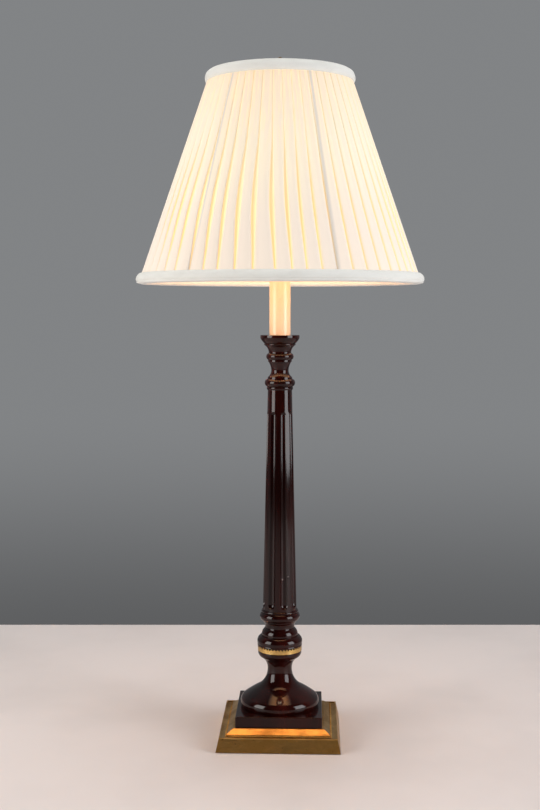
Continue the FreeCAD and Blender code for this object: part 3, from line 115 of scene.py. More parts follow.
class Recipe:
    def __init__(self, name, world=None):
        self.material = world or bpy.data.materials.new(name)
        self.material.use_nodes = True
        self.tree = self.material.node_tree
        self.tree.nodes.clear()
        self.spot = self.node("ShaderNodeTexCoord", out="Generated" if world else "Object")
        self.axes = {}

    def node(self, kind, settings=None, sockets=None, out=0):
        made = self.tree.nodes.new(kind)
        for name, setting in (settings or {}).items():
            setattr(made, name, setting)
        for name, given in (sockets or {}).items():
            if isinstance(given, Value):
                self.tree.links.new(given.socket, made.inputs[name])
            else:
                made.inputs[name].default_value = given
        return Value(self, made.outputs[out]) if made.outputs else made

    def maths(self, operation, *given):
        return self.node("ShaderNodeMath", {"operation": operation}, dict(enumerate(given)))

    def split(self, vector):
        made = self.tree.nodes.new("ShaderNodeSeparateXYZ")
        self.tree.links.new(vector.socket, made.inputs[0])
        return {name: Value(self, made.outputs[name]) for name in "XYZ"}

    def along(self, axis):
        self.axes = self.axes or self.split(self.spot)
        return self.axes[axis]

    def noise(self, scale, stretch=(1, 1, 1), detail=4.0, rough=0.55):
        stretched = self.node("ShaderNodeMapping", None, {"Vector": self.spot, "Scale": stretch})
        return self.node("ShaderNodeTexNoise", None,
                         {"Vector": stretched, "Scale": scale, "Detail": detail, "Roughness": rough})

    def between(self, value, low, high, start=0.0, end=1.0):
        return self.node("ShaderNodeMapRange", {"interpolation_type": "SMOOTHSTEP"},
                         {"Value": value, "From Min": low, "From Max": high, "To Min": start, "To Max": end})

    def mix(self, first, second, share):
        return self.node("ShaderNodeMix", {"data_type": "RGBA"}, {
            0: share,
            6: first if isinstance(first, Value) else (*first, 1),
            7: second if isinstance(second, Value) else (*second, 1),
        }, out=2)

    def bump(self, height, strength, distance):
        return self.node("ShaderNodeBump", None, {"Height": height, "Strength": strength, "Distance": distance})

    def finish(self, settings):
        shader = self.node("ShaderNodeBsdfPrincipled", None, {
            name: (*given, 1) if isinstance(given, tuple) else given
            for name, given in settings.items()}, out="BSDF")
        self.node("ShaderNodeOutputMaterial", None, {"Surface": shader})
        return self.material


# finishes

wood = {
    "dark": (0.0065, 0.0009, 0.0006),
    "red": (0.034, 0.0042, 0.0026),
    "pore": (0.004, 0.001, 0.001),
    "chipped": (0.20, 0.15, 0.14),
    "streakScale": 46.0,
    "cloudScale": 9.0,
    "poreScale": 420.0,
    "poreDepth": 0.00004,
    "roughness": (0.30, 0.42),
    "specular": 0.0,
    "coat": 0.85,
    "coatRoughness": 0.09,
    "coatIndex": 1.45,
    # where the lacquer is chipped: x, y, z and the chip's radius
    "chips": [(0.0034, -0.0152, 0.1820, 0.0012), (0.0097, -0.0155, 0.1853, 0.0009)],
}


def mahogany():
    r = Recipe("lacquered mahogany")
    streaks = r.noise(wood["streakScale"], (1, 1, 0.10), 6.0, 0.6)
    clouds = r.noise(wood["cloudScale"], (1, 1, 0.25), 3.0)
    pores = r.noise(wood["poreScale"], (1, 1, 0.05), 2.0, 0.7)
    red = r.between(streaks, 0.38, 0.72) * 0.7 + r.between(clouds, 0.4, 0.75) * 0.3
    colour = r.mix(wood["dark"], wood["red"], red)
    colour = r.mix(colour, wood["pore"], r.between(pores, 0.60, 0.75) * 0.5)
    for x, y, z, size in wood["chips"]:
        away = r.node("ShaderNodeVectorMath", {"operation": "DISTANCE"}, {0: r.spot, 1: (x, y, z)}, out="Value")
        colour = r.mix(colour, wood["chipped"], r.between(away, size * 0.4, size, 1.0, 0.0))
    return r.finish({
        "Base Color": colour,
        "Roughness": r.between(streaks, 0.3, 0.7, *wood["roughness"]),
        "Specular IOR Level": wood["specular"],
        "Coat Weight": wood["coat"],
        "Coat Roughness": wood["coatRoughness"],
        "Coat IOR": wood["coatIndex"],
        "Normal": r.bump(pores, 0.25, wood["poreDepth"]),
    })


agedBrass = {
    "bright": (0.66, 0.39, 0.119),
    "dull": (0.40, 0.215, 0.055),
    "patina": (0.07, 0.035, 0.013),
    "cloudScale": 28.0,
    "scratchScale": 240.0,
    "scratchDepth": 0.00003,
    "speckScale": 310.0,
    "polished": 0.24,
    "worn": 0.42,
}


def antiqueBrass():
    r = Recipe("aged brass")
    clouds = r.noise(agedBrass["cloudScale"], (1, 1, 2.0), 5.0, 0.6)
    scratches = r.noise(agedBrass["scratchScale"], (0.12, 0.12, 3.0), 3.0, 0.7)
    specks = r.noise(agedBrass["speckScale"], (1, 1, 1), 2.0, 0.8)
    colour = r.mix(agedBrass["dull"], agedBrass["bright"], r.between(clouds, 0.36, 0.66))
    colour = r.mix(colour, agedBrass["patina"], r.between(specks, 0.64, 0.74) * 0.55)
    rough = r.between(clouds, 0.3, 0.7, agedBrass["worn"], agedBrass["polished"])
    return r.finish({
        "Base Color": colour,
        "Metallic": 1.0,
        "Roughness": rough + scratches * 0.08,
        "Normal": r.bump(scratches, 0.35, agedBrass["scratchDepth"]),
    })


newBrass = {
    "bright": (0.80, 0.54, 0.20),
    "dull": (0.52, 0.32, 0.10),
    "cloudScale": 90.0,
    "grainScale": 700.0,
    "grainDepth": 0.00002,
    "polished": 0.16,
    "worn": 0.34,
}


def brightBrass():
    r = Recipe("polished brass")
    clouds = r.noise(newBrass["cloudScale"], (1, 1, 1), 4.0)
    grain = r.noise(newBrass["grainScale"], (1, 1, 0.2), 2.0)
    return r.finish({
        "Base Color": r.mix(newBrass["dull"], newBrass["bright"], r.between(clouds, 0.35, 0.6)),
        "Metallic": 1.0,
        "Roughness": r.between(clouds, 0.3, 0.7, newBrass["worn"], newBrass["polished"]),
        "Normal": r.bump(grain, 0.2, newBrass["grainDepth"]),
    })


# painted bulb light on the sleeve: a painted glow that grows a little towards the bulb, and a base tone painted
# warmer towards the bulb on top of the wax's own variation

sleeve = {
    "cool": (0.78, 0.575, 0.40),
    "warmWaxAndBulbLit": (0.80, 0.57, 0.335),
    "lowGlow": (0.45, 0.24, 0.09),
    "highGlow": (1.0, 0.60, 0.28),
    "glowStrength": 0.20,
    "low": 0.454,
    "high": 0.524,
    "waxScale": 55.0,
    "waxDepth": 0.0002,
    "roughness": (0.26, 0.38),
    "coat": 0.35,
    "coatRoughness": 0.12,
}


def ivory():
    r = Recipe("ivory sleeve")
    wax = r.noise(sleeve["waxScale"], (1, 1, 0.3), 3.0)
    rise = r.between(r.along("Z"), sleeve["low"], sleeve["high"])
    return r.finish({
        # painted light: the tone warms towards the bulb with height, besides the wax's own random tone
        "Base Color": r.mix(sleeve["cool"], sleeve["warmWaxAndBulbLit"], r.between(wax, 0.3, 0.7) * 0.35 + rise * 0.6),
        "Roughness": r.between(wax, 0.3, 0.7, *sleeve["roughness"]),
        "Coat Weight": sleeve["coat"],
        "Coat Roughness": sleeve["coatRoughness"],
        # painted glow standing in for bulb light through the sleeve, stronger higher up
        "Emission Color": r.mix(sleeve["lowGlow"], sleeve["highGlow"], rise),
        "Emission Strength": sleeve["glowStrength"],
        "Normal": r.bump(wax, 0.15, sleeve["waxDepth"]),
    })


# the cover is lit from within, and that light is painted on: a glow hottest by the bulb, painted shade over ribs and
# folded layers, a painted golden glow and warmer base tone in the open gaps

cloth = {
    "face": (0.64, 0.585, 0.50),
    "valley": (0.64, 0.50, 0.32),
    "ribShadowFace": (0.50, 0.48, 0.45),
    "lowGlow": (0.43, 0.33, 0.27),
    "hotGlow": (0.55, 0.46, 0.27),
    "highGlow": (0.53, 0.35, 0.15),
    "foldShadeGlow": (0.30, 0.24, 0.20),
    "puckerGlow": (0.74, 0.44, 0.14),
    "valleyGlow": (0.80, 0.58, 0.26),
    "ribShadowGlow": (0.24, 0.21, 0.19),
    "strength": 0.76,
    "highFrom": (0.60, 0.73),
    "opensUpTo": (0.575, 0.675),
    "bulbLevel": 0.650,
    "bulbReach": 0.085,
    "folded": 0.30,
    "ribCount": 6,
    "ribPhase": -66.0,
    "ribWidth": 0.030,
    "puckerScale": 52.0,
    "threadScale": 2600.0,
    "bumpDepth": 0.0008,
    "roughness": (0.78, 0.92),
    "sheen": 0.2,
}


def pleatedCloth():
    r = Recipe("pleated cloth")
    marks = r.split(r.node("ShaderNodeUVMap", {"uv_map": "pleat"}))
    valley = r.between(marks["X"], 0.25, 0.85)
    folded = marks["Y"]
    x, y, z = (r.along(axis) for axis in "XYZ")
    high = r.between(z, *cloth["highFrom"])
    opened = valley * r.between(z, *cloth["opensUpTo"], 1.0, 0.12)
    heat = r.between(r.maths("ABSOLUTE", z - cloth["bulbLevel"]), 0.0, cloth["bulbReach"], 1.0, 0.0)
    halfTurns = cloth["ribCount"] / 2
    turned = (r.maths("ARCTAN2", y, x) - math.radians(cloth["ribPhase"])) * halfTurns
    offRib = r.maths("ABSOLUTE", r.maths("SINE", turned))
    # painted rib shadow: a mask along each rib where the glow and the base colour are darkened
    ribShadow = r.between(offRib, 0.0, cloth["ribWidth"] * halfTurns, 1.0, 0.0)
    reach = (x * x + y * y) ** 0.5
    around = r.node("ShaderNodeCombineXYZ", None, {0: x / reach, 1: y / reach, 2: z * 0.8})
    puckers = r.node("ShaderNodeTexNoise", None,
                     {"Vector": around, "Scale": cloth["puckerScale"], "Detail": 3.0})
    weave = r.noise(cloth["threadScale"], (1, 1, 0.35), 2.0, 0.6)
    glow = r.mix(r.mix(cloth["lowGlow"], cloth["highGlow"], high), cloth["hotGlow"], heat * 0.8)
    # painted shade where folded layers lie behind a face
    glow = r.mix(glow, cloth["foldShadeGlow"], folded * cloth["folded"])
    # painted light: the glow varies in streaks over the puckers near the top
    glow = r.mix(glow, cloth["puckerGlow"], r.between(puckers, 0.46, 0.66) * high * 0.8)
    # painted golden glow in the open gaps
    glow = r.mix(glow, cloth["valleyGlow"], opened)
    glow = r.mix(glow, cloth["ribShadowGlow"], ribShadow * 0.75)
    return r.finish({
        # the base colour carries painted light too: warmer in the open gaps, darker along the ribs as a painted
        # shadow
        "Base Color": r.mix(r.mix(cloth["face"], cloth["valley"], opened), cloth["ribShadowFace"], ribShadow * 0.8),
        "Roughness": r.between(weave, 0.3, 0.7, *cloth["roughness"]),
        "Sheen Weight": cloth["sheen"],
        "Emission Color": glow,
        "Emission Strength": cloth["strength"],
        "Normal": r.bump(weave * 0.2 + puckers * (high + 0.25), 0.5, cloth["bumpDepth"]),
    })


innerCloth = {
    "pale": (0.86, 0.68, 0.58),
    "shade": (0.80, 0.60, 0.50),
    "lowGlow": (0.26, 0.16, 0.11),
    "highGlow": (1.0, 0.58, 0.26),
    "strength": 1.8,
    "low": 0.522,
    "high": 0.62,
    "threadScale": 2200.0,
    "threadDepth": 0.0001,
    "roughness": 0.85,
}


def liningCloth():
    r = Recipe("lining cloth")
    weave = r.noise(innerCloth["threadScale"], (1, 1, 1), 2.0, 0.6)
    heat = r.between(r.along("Z"), innerCloth["low"], innerCloth["high"])
    return r.finish({
        "Base Color": r.mix(innerCloth["pale"], innerCloth["shade"], r.between(weave, 0.35, 0.7)),
        "Roughness": innerCloth["roughness"],
        "Emission Color": r.mix(innerCloth["lowGlow"], innerCloth["highGlow"], heat),
        "Emission Strength": innerCloth["strength"],
        "Normal": r.bump(weave, 0.2, innerCloth["threadDepth"]),
    })


trimLook = {
    "pale": (0.72, 0.725, 0.69),
    "shade": (0.55, 0.535, 0.49),
    "glow": (0.62, 0.50, 0.38),
    "strength": 0.08,
    "threadScale": 2400.0,
    "softScale": 38.0,
    "bumpDepth": 0.00025,
    "roughness": (0.80, 0.95),
    "sheen": 0.25,
}


def trimCloth():
    r = Recipe("trim cloth")
    weave = r.noise(trimLook["threadScale"], (1, 1, 1.6), 2.0, 0.65)
    soft = r.noise(trimLook["softScale"], (1, 1, 3.0), 3.0)
    shade = r.between(weave, 0.45, 0.8) * 0.4 + r.between(soft, 0.4, 0.8) * 0.25
    return r.finish({
        "Base Color": r.mix(trimLook["pale"], trimLook["shade"], shade),
        "Roughness": r.between(weave, 0.3, 0.7, *trimLook["roughness"]),
        "Sheen Weight": trimLook["sheen"],
        "Emission Color": trimLook["glow"],
        "Emission Strength": trimLook["strength"],
        "Normal": r.bump(weave + soft, 0.35, trimLook["bumpDepth"]),
    })


glass = {
    "clean": (0.93, 0.90, 0.84),
    "dusty": (0.86, 0.82, 0.75),
    "coreGlow": (1.0, 0.86, 0.62),
    "edgeGlow": (0.95, 0.62, 0.32),
    "strength": 9.0,
    "level": 0.632,
    "core": 0.005,
    "edge": 0.05,
    "grainScale": 900.0,
    "roughness": (0.25, 0.4),
}


def frostedGlass():
    r = Recipe("frosted glass")
    grain = r.noise(glass["grainScale"], (1, 1, 1), 2.0)
    away = r.maths("ABSOLUTE", r.along("Z") - glass["level"])
    return r.finish({
        "Base Color": r.mix(glass["clean"], glass["dusty"], r.between(grain, 0.3, 0.7)),
        "Roughness": r.between(grain, 0.3, 0.7, *glass["roughness"]),
        "Emission Color": r.mix(glass["coreGlow"], glass["edgeGlow"], r.between(away, glass["core"], glass["edge"])),
        "Emission Strength": glass["strength"],
    })


def plainFinish(name, first, second, scale, rough, metallic=0.0, bump=0.00003, extra=None):
    r = Recipe(name)
    clouds = r.noise(scale, (1, 1, 1), 4.0)
    grain = r.noise(scale * 9, (1, 1, 1), 2.0, 0.7)
    return r.finish({
        "Base Color": r.mix(first, second, r.between(clouds, 0.35, 0.68)),
        "Metallic": metallic,
        "Roughness": r.between(clouds, 0.3, 0.7, *rough) + grain * 0.06,
        "Normal": r.bump(grain, 0.3, bump),
        **(extra or {}),
    })


finishes = {
    "felt": plainFinish(
        "dense felt", (0.030, 0.055, 0.036), (0.055, 0.088, 0.060), 160.0, (0.88, 0.98), bump=0.0003),
    "antique_brass": antiqueBrass(),
    "iron": plainFinish(
        "raw iron", (0.035, 0.034, 0.034), (0.075, 0.066, 0.058), 60.0, (0.55, 0.8), 0.8, bump=0.0003),
    "black_plastic": plainFinish(
        "black plastic", (0.012, 0.011, 0.010), (0.022, 0.020, 0.019), 120.0, (0.30, 0.42)),
    "zinc_steel": plainFinish(
        "zinc plated steel", (0.42, 0.42, 0.43), (0.60, 0.60, 0.60), 90.0, (0.26, 0.4), 1.0),
    "mahogany": mahogany(),
    "bright_brass": brightBrass(),
    "ivory": ivory(),
    "phenolic": plainFinish(
        "phenolic", (0.020, 0.014, 0.010), (0.035, 0.024, 0.018), 80.0, (0.35, 0.5)),
    "aluminium": plainFinish(
        "pressed aluminium", (0.70, 0.70, 0.69), (0.82, 0.82, 0.80), 80.0, (0.22, 0.36), 1.0),
    "fibre": plainFinish(
        "card liner", (0.42, 0.33, 0.22), (0.52, 0.42, 0.29), 130.0, (0.7, 0.85), bump=0.0002),
    "bulb_glass": frostedGlass(),
    "clear_glass": plainFinish(
        "clear glass", (0.80, 0.84, 0.84), (0.9, 0.93, 0.92), 60.0, (0.03, 0.08), bump=0.00002,
        extra={"Transmission Weight": 0.9, "IOR": 1.5}),
    "filament_wire": plainFinish(
        "hot wire", (0.9, 0.6, 0.3), (1.0, 0.75, 0.45), 200.0, (0.4, 0.5), 1.0,
        extra={"Emission Color": (1.0, 0.62, 0.28), "Emission Strength": 4.0}),
    "frame_wire": plainFinish(
        "white coated wire", (0.66, 0.64, 0.60), (0.76, 0.74, 0.70), 120.0, (0.35, 0.5)),
    "pleated_silk": pleatedCloth(),
    "lining_cloth": liningCloth(),
    "trim_cloth": trimCloth(),
}

for part in frame["record"]["subparts"]:
    piece, finish = nodes[part["node"]], finishes[part["material_slot"]]
    if not piece.data.materials:
        piece.data.materials.append(finish)
    for place in piece.material_slots:
        place.material = finish
print("finishes made:", len(finishes))


def makePiece(name, bm, body, slotName, smooth=True):
    bmesh.ops.remove_doubles(bm, verts=bm.verts, dist=0.000002)
    data = bpy.data.meshes.new(name)
    bm.to_mesh(data)
    bm.free()
    for face in data.polygons:
        face.use_smooth = smooth
    data.materials.append(finishes[slotName])
    piece = bpy.data.objects.new(name, data)
    bpy.context.scene.collection.objects.link(piece)
    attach(piece, body)
    return piece


def thicken(piece, thickness):  # inwards only, without even offset, which spikes at sharp folds
    wall = piece.modifiers.new("cloth", "SOLIDIFY")
    wall.thickness, wall.offset = thickness, -1.0


# pleated cover: one knife pleat is shaped on a grid, repeated, and each is set in its place round the cone

pleats = {
    "count": 54,
    "rows": 22,
    "low": 0.5156,
    "high": 0.7430,
    "lowRadius": 0.15683,
    "highRadius": 0.07785,
    "lowDepth": 0.0037,
    "highDepth": 0.0016,
    "thickness": 0.00025,
    # the open gap beside a face, as a share of the pitch: widest at gapHeight, closing towards the top
    "gapLow": 0.008,
    "gapWide": 0.30,
    "gapHeight": 0.36,
    "gapSpread": 0.25,
    "gapCloses": 0.55,
    "gapClosed": 0.8,
    # where the folded layer behind a face begins, at the bottom and at the top
    "foldLow": 0.52,
    "foldHigh": 0.12,
    "foldSoft": 0.08,
    "foldClear": 0.004,
    # gaps seen from the front, in degrees from the facing direction, and their widths as shares of the even one
    "facing": -88.44,
    "frontGaps": [-51.8, -45.2, -37.3, -30.6, -24.4, -17.3, -10.2, -1.8, 4.6, 10.2, 16.1, 22.2],
    "frontWidths": [1.3, 1.1, 1.0, 1.0, 0.95, 1.0, 0.95, 0.8, 0.75, 0.6, 0.42, 0.28, 0.2, 0.15, 0.15, 0.2, 0.3,
                    0.5],
    "backWidth": 0.95,
    "backSwing": 0.25,
    "backStep": 1.7,
    # how far a pleat follows its listed place: fully at the bottom, hardly at the top
    "evenLead": 1.8,
    "handLow": 1.05,
    "handFall": 0.75,
}

# one pleat from the front edge on: across as a share of that stretch, depth as a share of the pleat's, gap mask
facePoints = [(0.0, 0.70, 1.0), (0.015, 0.36, 0.75), (0.05, 0.12, 0.55), (0.14, 0.02, 0.38), (0.28, 0.0, 0.20),
              (0.44, 0.0, 0.0), (0.60, 0.03, 0.0), (0.75, 0.08, 0.0), (0.87, 0.16, 0.0), (0.95, 0.27, 0.0),
              (0.99, 0.40, 0.05)]
hiddenPoints = [(1.0, 0.52, 0.4), (0.86, 0.60, 1.0), (0.40, 0.66, 1.0), (0.0, 0.72, 1.0), (-0.01, 0.86, 1.0),
                (0.40, 0.93, 1.0), (0.90, 0.97, 1.0)]
gapPoints = [(0.10, 0.96, 1.0), (0.55, 0.93, 1.0), (0.90, 0.84, 1.0), (1.0, 0.70, 1.0)]


def blend(low, high, share):
    return low + (high - low) * share


def gapShare(rise):
    swell = math.exp(-((rise - pleats["gapHeight"]) / pleats["gapSpread"]) ** 2)
    closed = max(0.0, (rise - pleats["gapCloses"]) / (1 - pleats["gapCloses"])) * pleats["gapClosed"]
    return (pleats["gapLow"] + pleats["gapWide"] * swell) * (1 - closed)


def pleatPoint(column, rise):
    gap = gapShare(rise)
    face = 1 - gap
    fold = blend(pleats["foldLow"], pleats["foldHigh"], rise)
    if column < len(facePoints):
        share, depth, mask = facePoints[column]
        folded = min(1.0, max(0.0, (share * face - fold) / pleats["foldSoft"]))
        return share * face, depth, mask, folded
    column -= len(facePoints)
    if column < len(hiddenPoints):
        share, depth, mask = hiddenPoints[column]
        return blend(fold, face - pleats["foldClear"], share), depth, mask, 0.0
    share, depth, mask = gapPoints[column - len(hiddenPoints)]
    return face + gap * share, depth, mask, 0.0


def setPleat(turn, rise):
    count, front, widths = pleats["count"], pleats["frontGaps"], pleats["frontWidths"]
    number = math.floor(turn)
    part = turn - number
    number %= count

    # the gap's own width
    backWidth = pleats["backWidth"] + pleats["backSwing"] * math.sin(number * pleats["backStep"])
    width = widths[number] if number < len(widths) else backWidth
    gap = gapShare(rise)
    face, newFace = 1 - gap, 1 - gap * width
    part = part / face * newFace if part < face else 1 - (1 - part) * width

    # the pleat's own place, between the gap before it and its own; those at the back are evenly spaced
    behind = count - len(front) + 1
    spacing = (360 - front[-1] + front[0]) / behind
    gaps = [*front, *(front[-1] + spacing * step for step in range(1, behind + 1))]
    low, high = (gaps[number - 1], gaps[number]) if number else (gaps[-2] - 360, gaps[0])
    placed = blend(low, high, part)
    even = front[0] - pleats["evenLead"] + (number - 1 + part) * 360 / count
    return blend(even, placed, pleats["handLow"] - pleats["handFall"] * rise)


def makePleatedCover():
    columns = len(facePoints) + len(hiddenPoints) + len(gapPoints)
    bm = bmesh.new()
    bmesh.ops.create_grid(bm, x_segments=columns - 1, y_segments=pleats["rows"], size=1.0)
    layer = bm.loops.layers.uv.new("pleat")
    marks = {}
    bm.verts.index_update()
    for vert in bm.verts:
        column = round((vert.co.x + 1) / 2 * (columns - 1))
        rise = (vert.co.y + 1) / 2
        across, depth, mask, folded = pleatPoint(column, rise)
        depth *= blend(pleats["lowDepth"], pleats["highDepth"], rise)
        marks[vert.index] = (mask, folded)
        vert.co = (across, depth, rise)
    for face in bm.faces:
        for loop in face.loops:
            loop[layer].uv = marks[loop.vert.index]
    strip = bm.verts[:] + bm.edges[:] + bm.faces[:]
    for number in range(1, pleats["count"]):
        copied = bmesh.ops.duplicate(bm, geom=strip)["geom"]
        moved = [part for part in copied if isinstance(part, bmesh.types.BMVert)]
        bmesh.ops.translate(bm, verts=moved, vec=(number, 0, 0))
    for vert in bm.verts:
        turn, depth, rise = vert.co
        angle = math.radians(pleats["facing"] + setPleat(turn, rise))
        radius = blend(pleats["lowRadius"], pleats["highRadius"], rise) - depth
        height = blend(pleats["low"], pleats["high"], rise)
        vert.co = (radius * math.cos(angle), radius * math.sin(angle), height)
    bmesh.ops.recalc_face_normals(bm, faces=bm.faces)
    cover = makePiece("pleatedCover", bm, "shade", "pleated_silk")
    thicken(cover, pleats["thickness"])
    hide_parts("shade_cover")


makePleatedCover()
print("pleated cover made")


# lining: a smooth cone, drawn in a little between the ribs

lining = {
    "low": 0.5156,
    "high": 0.7376,
    "lowRadius": 0.14883,
    "highRadius": 0.07385,
    "sides": 96,
    "rows": 10,
    "drawIn": 0.0005,
    "thickness": 0.0003,
}


def makeLining():
    bm = bmesh.new()
    bmesh.ops.create_cone(bm, cap_ends=False, segments=lining["sides"], radius1=lining["lowRadius"],
                          radius2=lining["highRadius"], depth=lining["high"] - lining["low"])
    bmesh.ops.translate(bm, verts=bm.verts, vec=(0, 0, (lining["high"] + lining["low"]) / 2))
    upright = [edge for edge in bm.edges if abs(edge.verts[0].co.z - edge.verts[1].co.z) > 0.01]
    bmesh.ops.subdivide_edges(bm, edges=upright, cuts=lining["rows"] - 1, use_grid_fill=True)
    for vert in bm.verts:
        turn = math.atan2(vert.co.y, vert.co.x) - math.radians(cloth["ribPhase"])
        between = abs(math.sin(turn * cloth["ribCount"] / 2))
        inward = 1 - lining["drawIn"] * between / vert.co.xy.length
        vert.co.x *= inward
        vert.co.y *= inward
    bmesh.ops.recalc_face_normals(bm, faces=bm.faces)
    piece = makePiece("liningSheet", bm, "shade", "lining_cloth")
    thicken(piece, lining["thickness"])
    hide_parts("shade_lining")


makeLining()
print("lining made")


# rolled trims: a cloth strip folded over each edge of the shade, its section in millimetres (radius, height)

bottomTrim = {
    "name": "bottomTrimRoll",
    "node": "bottom_trim",
    "turns": 180,
    "thickness": 0.0007,
    "section": [(153.85, 525.2), (154.8, 525.35), (156.5, 524.7), (158.4, 523.2), (159.8, 521.1), (160.45, 518.8),
                (160.4, 517.4), (160.0, 516.5), (159.25, 516.1), (159.75, 515.5), (159.6, 514.7), (158.7, 513.95),
                (156.7, 513.8), (156.1, 513.5), (154.3, 513.05), (151.3, 513.0), (148.9, 513.15), (147.5, 514.0),
                (146.9, 516.0), (146.5, 519.0)],
    "ripple": 0.00022,
    "flat": (0.985, 0.0335),
}
topTrim = {
    "name": "topTrimRoll",
    "node": "top_trim",
    "turns": 150,
    "thickness": 0.0007,
    "section": [(79.75, 733.9), (80.7, 733.3), (82.0, 734.1), (82.85, 735.8), (83.1, 737.9), (82.9, 740.2),
                (82.1, 742.4), (80.9, 744.1), (79.2, 745.2), (77.2, 745.45), (74.2, 745.4), (71.6, 745.1),
                (70.2, 744.4), (69.9, 743.3)],
    "ripple": 0.00018,
    "flat": (0.495, 0.0262),
}

# the rolls are gathered by hand, so they slacken a little: waves round the shade, their start and share
gathers = [(23, 0.4, 0.5), (41, 1.7, 0.3), (7, 0.0, 0.4)]


def makeTrim(trim):
    bm = bmesh.new()
    corners = [bm.verts.new((radius / 1000, 0, height / 1000)) for radius, height in trim["section"]]
    edges = [bm.edges.new(pair) for pair in zip(corners, corners[1:])]
    bmesh.ops.spin(bm, geom=corners + edges, cent=(0, 0, 0), axis=(0, 0, 1), dvec=(0, 0, 0),
                   angle=2 * math.pi, steps=trim["turns"], use_merge=True)
    fullest = sum(share for _, _, share in gathers)
    for vert in bm.verts:
        angle = math.atan2(vert.co.y, vert.co.x)
        swell = sum(math.sin(waves * angle + start) * share for waves, start, share in gathers)
        inward = 1 + trim["ripple"] * (swell - fullest) / vert.co.xy.length
        vert.co.x *= inward
        vert.co.y *= inward
    bmesh.ops.recalc_face_normals(bm, faces=bm.faces)
    piece = makePiece(trim["name"], bm, "shade", "trim_cloth")
    thicken(piece, trim["thickness"])
    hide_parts(trim["node"])


makeTrim(bottomTrim)
makeTrim(topTrim)
print("trims made")


# felt under the base

felt = {"side": 0.1284, "thickness": 0.002, "corner": 0.004, "cells": 24}


def makeFelt():
    bm = bmesh.new()
    bmesh.ops.create_grid(bm, x_segments=felt["cells"], y_segments=felt["cells"], size=felt["side"] / 2)
    bmesh.ops.translate(bm, verts=bm.verts, vec=(0, 0, felt["thickness"]))
    corners = [vert for vert in bm.verts if abs(vert.co.x) + abs(vert.co.y) > felt["side"] * 0.999]
    bmesh.ops.bevel(bm, geom=corners, offset=felt["corner"], affect="VERTICES", segments=5, profile=0.5,
                    material=-1)
    piece = makePiece("feltSheet", bm, "base", "felt", smooth=False)
    thicken(piece, felt["thickness"])
    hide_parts("felt_pad")


makeFelt()


# fine beading in the groove inside the brass lip

beading = {"reach": 0.0582, "level": 0.01615, "radius": 0.0008, "count": 64, "segments": 8, "rings": 5}


def makeBeading():
    bm = bmesh.new()
    reach, pitch = beading["reach"], 2 * beading["reach"] / beading["count"]
    for side in range(4):
        turn = Matrix.Rotation(side * math.pi / 2, 4, "Z")
        for number in range(beading["count"]):
            place = turn @ Matrix.Translation((-reach + pitch * number, -reach, beading["level"]))
            bmesh.ops.create_uvsphere(bm, u_segments=beading["segments"], v_segments=beading["rings"],
                                      radius=beading["radius"], matrix=place)
    makePiece("lipBeading", bm, "base", "antique_brass")


makeBeading()
print("base details made")


# floor, world and lamps

ground = {
    "pale": (0.80, 0.735, 0.71),
    "worn": 0.94,
    "mirrored": (0.64, 0.57, 0.545),
    "roughness": 0.5,
    "cloudScale": 5.0,
    "halfWidth": 2.2,
    "front": -1.9,
    "back": 0.484,
    "turn": 2.02,
}


def makeFloor():
    halfDepth, middle = (ground["back"] - ground["front"]) / 2, (ground["back"] + ground["front"]) / 2
    turn = Matrix.Rotation(math.radians(ground["turn"]), 3, "Z")
    bm = bmesh.new()
    bmesh.ops.create_grid(bm, x_segments=2, y_segments=2, size=1.0)
    bmesh.ops.scale(bm, verts=bm.verts, vec=(ground["halfWidth"], halfDepth, 1))
    bmesh.ops.translate(bm, verts=bm.verts, vec=(0, middle, 0))
    bmesh.ops.rotate(bm, verts=bm.verts, cent=(0, 0, 0), matrix=turn)
    data = bpy.data.meshes.new("floor")
    bm.to_mesh(data)
    bm.free()
    floor = bpy.data.objects.new("floor", data)
    bpy.context.scene.collection.objects.link(floor)
    r = Recipe("pale floor")
    clouds = r.noise(ground["cloudScale"], (1, 1, 1), 3.0)
    worn = tuple(ground["worn"] * channel for channel in ground["pale"])
    seen = r.mix(ground["pale"], worn, r.between(clouds, 0.4, 0.7))
    shiny = r.node("ShaderNodeLightPath", out="Is Glossy Ray")
    data.materials.append(r.finish({
        "Base Color": r.mix(seen, ground["mirrored"], shiny),
        "Roughness": ground["roughness"],
    }))


# the wall darkens towards the floor; mirrored in the lacquer, the studio in front is dark

studio = {
    "wallLow": (0.108, 0.110, 0.113),
    "wallHigh": (0.222, 0.229, 0.236),
    "fadesOver": (-0.27, -0.08),
    "room": (0.024, 0.022, 0.023),
    "roomEnds": (-0.10, 0.40),
}


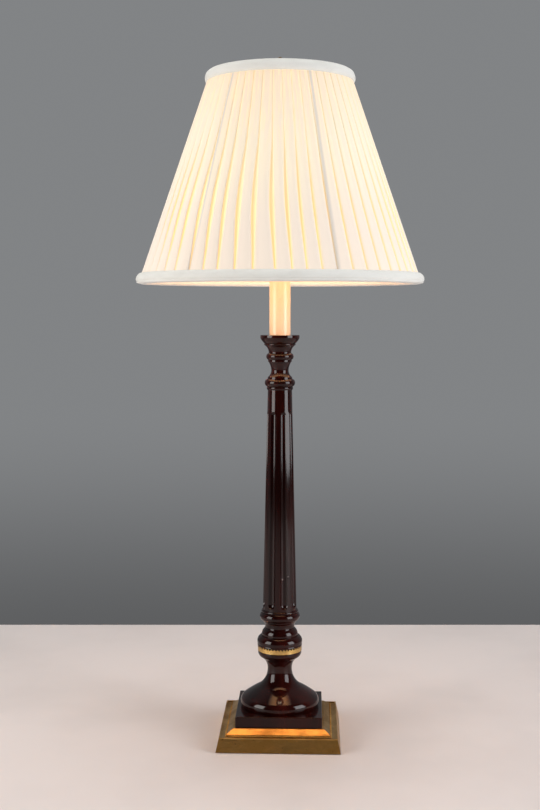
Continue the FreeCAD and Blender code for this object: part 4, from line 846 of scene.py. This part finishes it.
def makeWorld():
    world = bpy.data.worlds.new("studio")
    bpy.context.scene.world = world
    r = Recipe("studio", world)
    wall = r.mix(studio["wallLow"], studio["wallHigh"], r.between(r.along("Z"), *studio["fadesOver"]))
    mirrored = r.mix(studio["room"], wall, r.between(r.along("Y"), *studio["roomEnds"]))
    shiny = r.node("ShaderNodeLightPath", out="Is Glossy Ray")
    glow = r.node("ShaderNodeBackground", None, {"Color": r.mix(wall, mirrored, shiny), "Strength": 1.0})
    r.node("ShaderNodeOutputWorld", None, {"Surface": glow})


# a lamp's azimuth runs from the front to the right; low is its lower edge, aim the height it faces
lamps = [
    {"name": "leftSoftbox", "azimuth": -62.0, "distance": 1.7, "low": 0.14, "aim": 0.79, "size": (0.95, 1.3),
     "power": 22.0, "colour": (1.0, 0.97, 0.94), "mirrored": True},
    {"name": "rightSoftbox", "azimuth": 64.0, "distance": 1.7, "low": 0.14, "aim": 0.79, "size": (0.95, 1.3),
     "power": 23.0, "colour": (0.96, 0.97, 1.0), "mirrored": True},
    {"name": "overheadPanel", "azimuth": 180.0, "distance": 0.1, "low": 2.1, "aim": 0.45, "size": (1.2, 1.2),
     "power": 20.0, "colour": (1.0, 0.98, 0.96), "mirrored": False},
]


def makeLamp(lamp):
    data = bpy.data.lights.new(lamp["name"], "AREA")
    data.shape = "RECTANGLE"
    data.size, data.size_y = lamp["size"]
    data.energy, data.color = lamp["power"], lamp["colour"]
    turn = math.radians(lamp["azimuth"])
    middle = lamp["low"] + lamp["size"][1] / 2
    place = Vector((math.sin(turn) * lamp["distance"], -math.cos(turn) * lamp["distance"], middle))
    light = bpy.data.objects.new(lamp["name"], data)
    bpy.context.scene.collection.objects.link(light)
    light.location = place
    light.rotation_mode = "QUATERNION"
    light.rotation_quaternion = (Vector((0, 0, lamp["aim"])) - place).to_track_quat("-Z", "Y")
    light.visible_glossy = lamp["mirrored"]


makeFloor()
makeWorld()
for lamp in lamps:
    makeLamp(lamp)
bpy.context.scene.view_settings.view_transform = "Standard"
print("stage set")
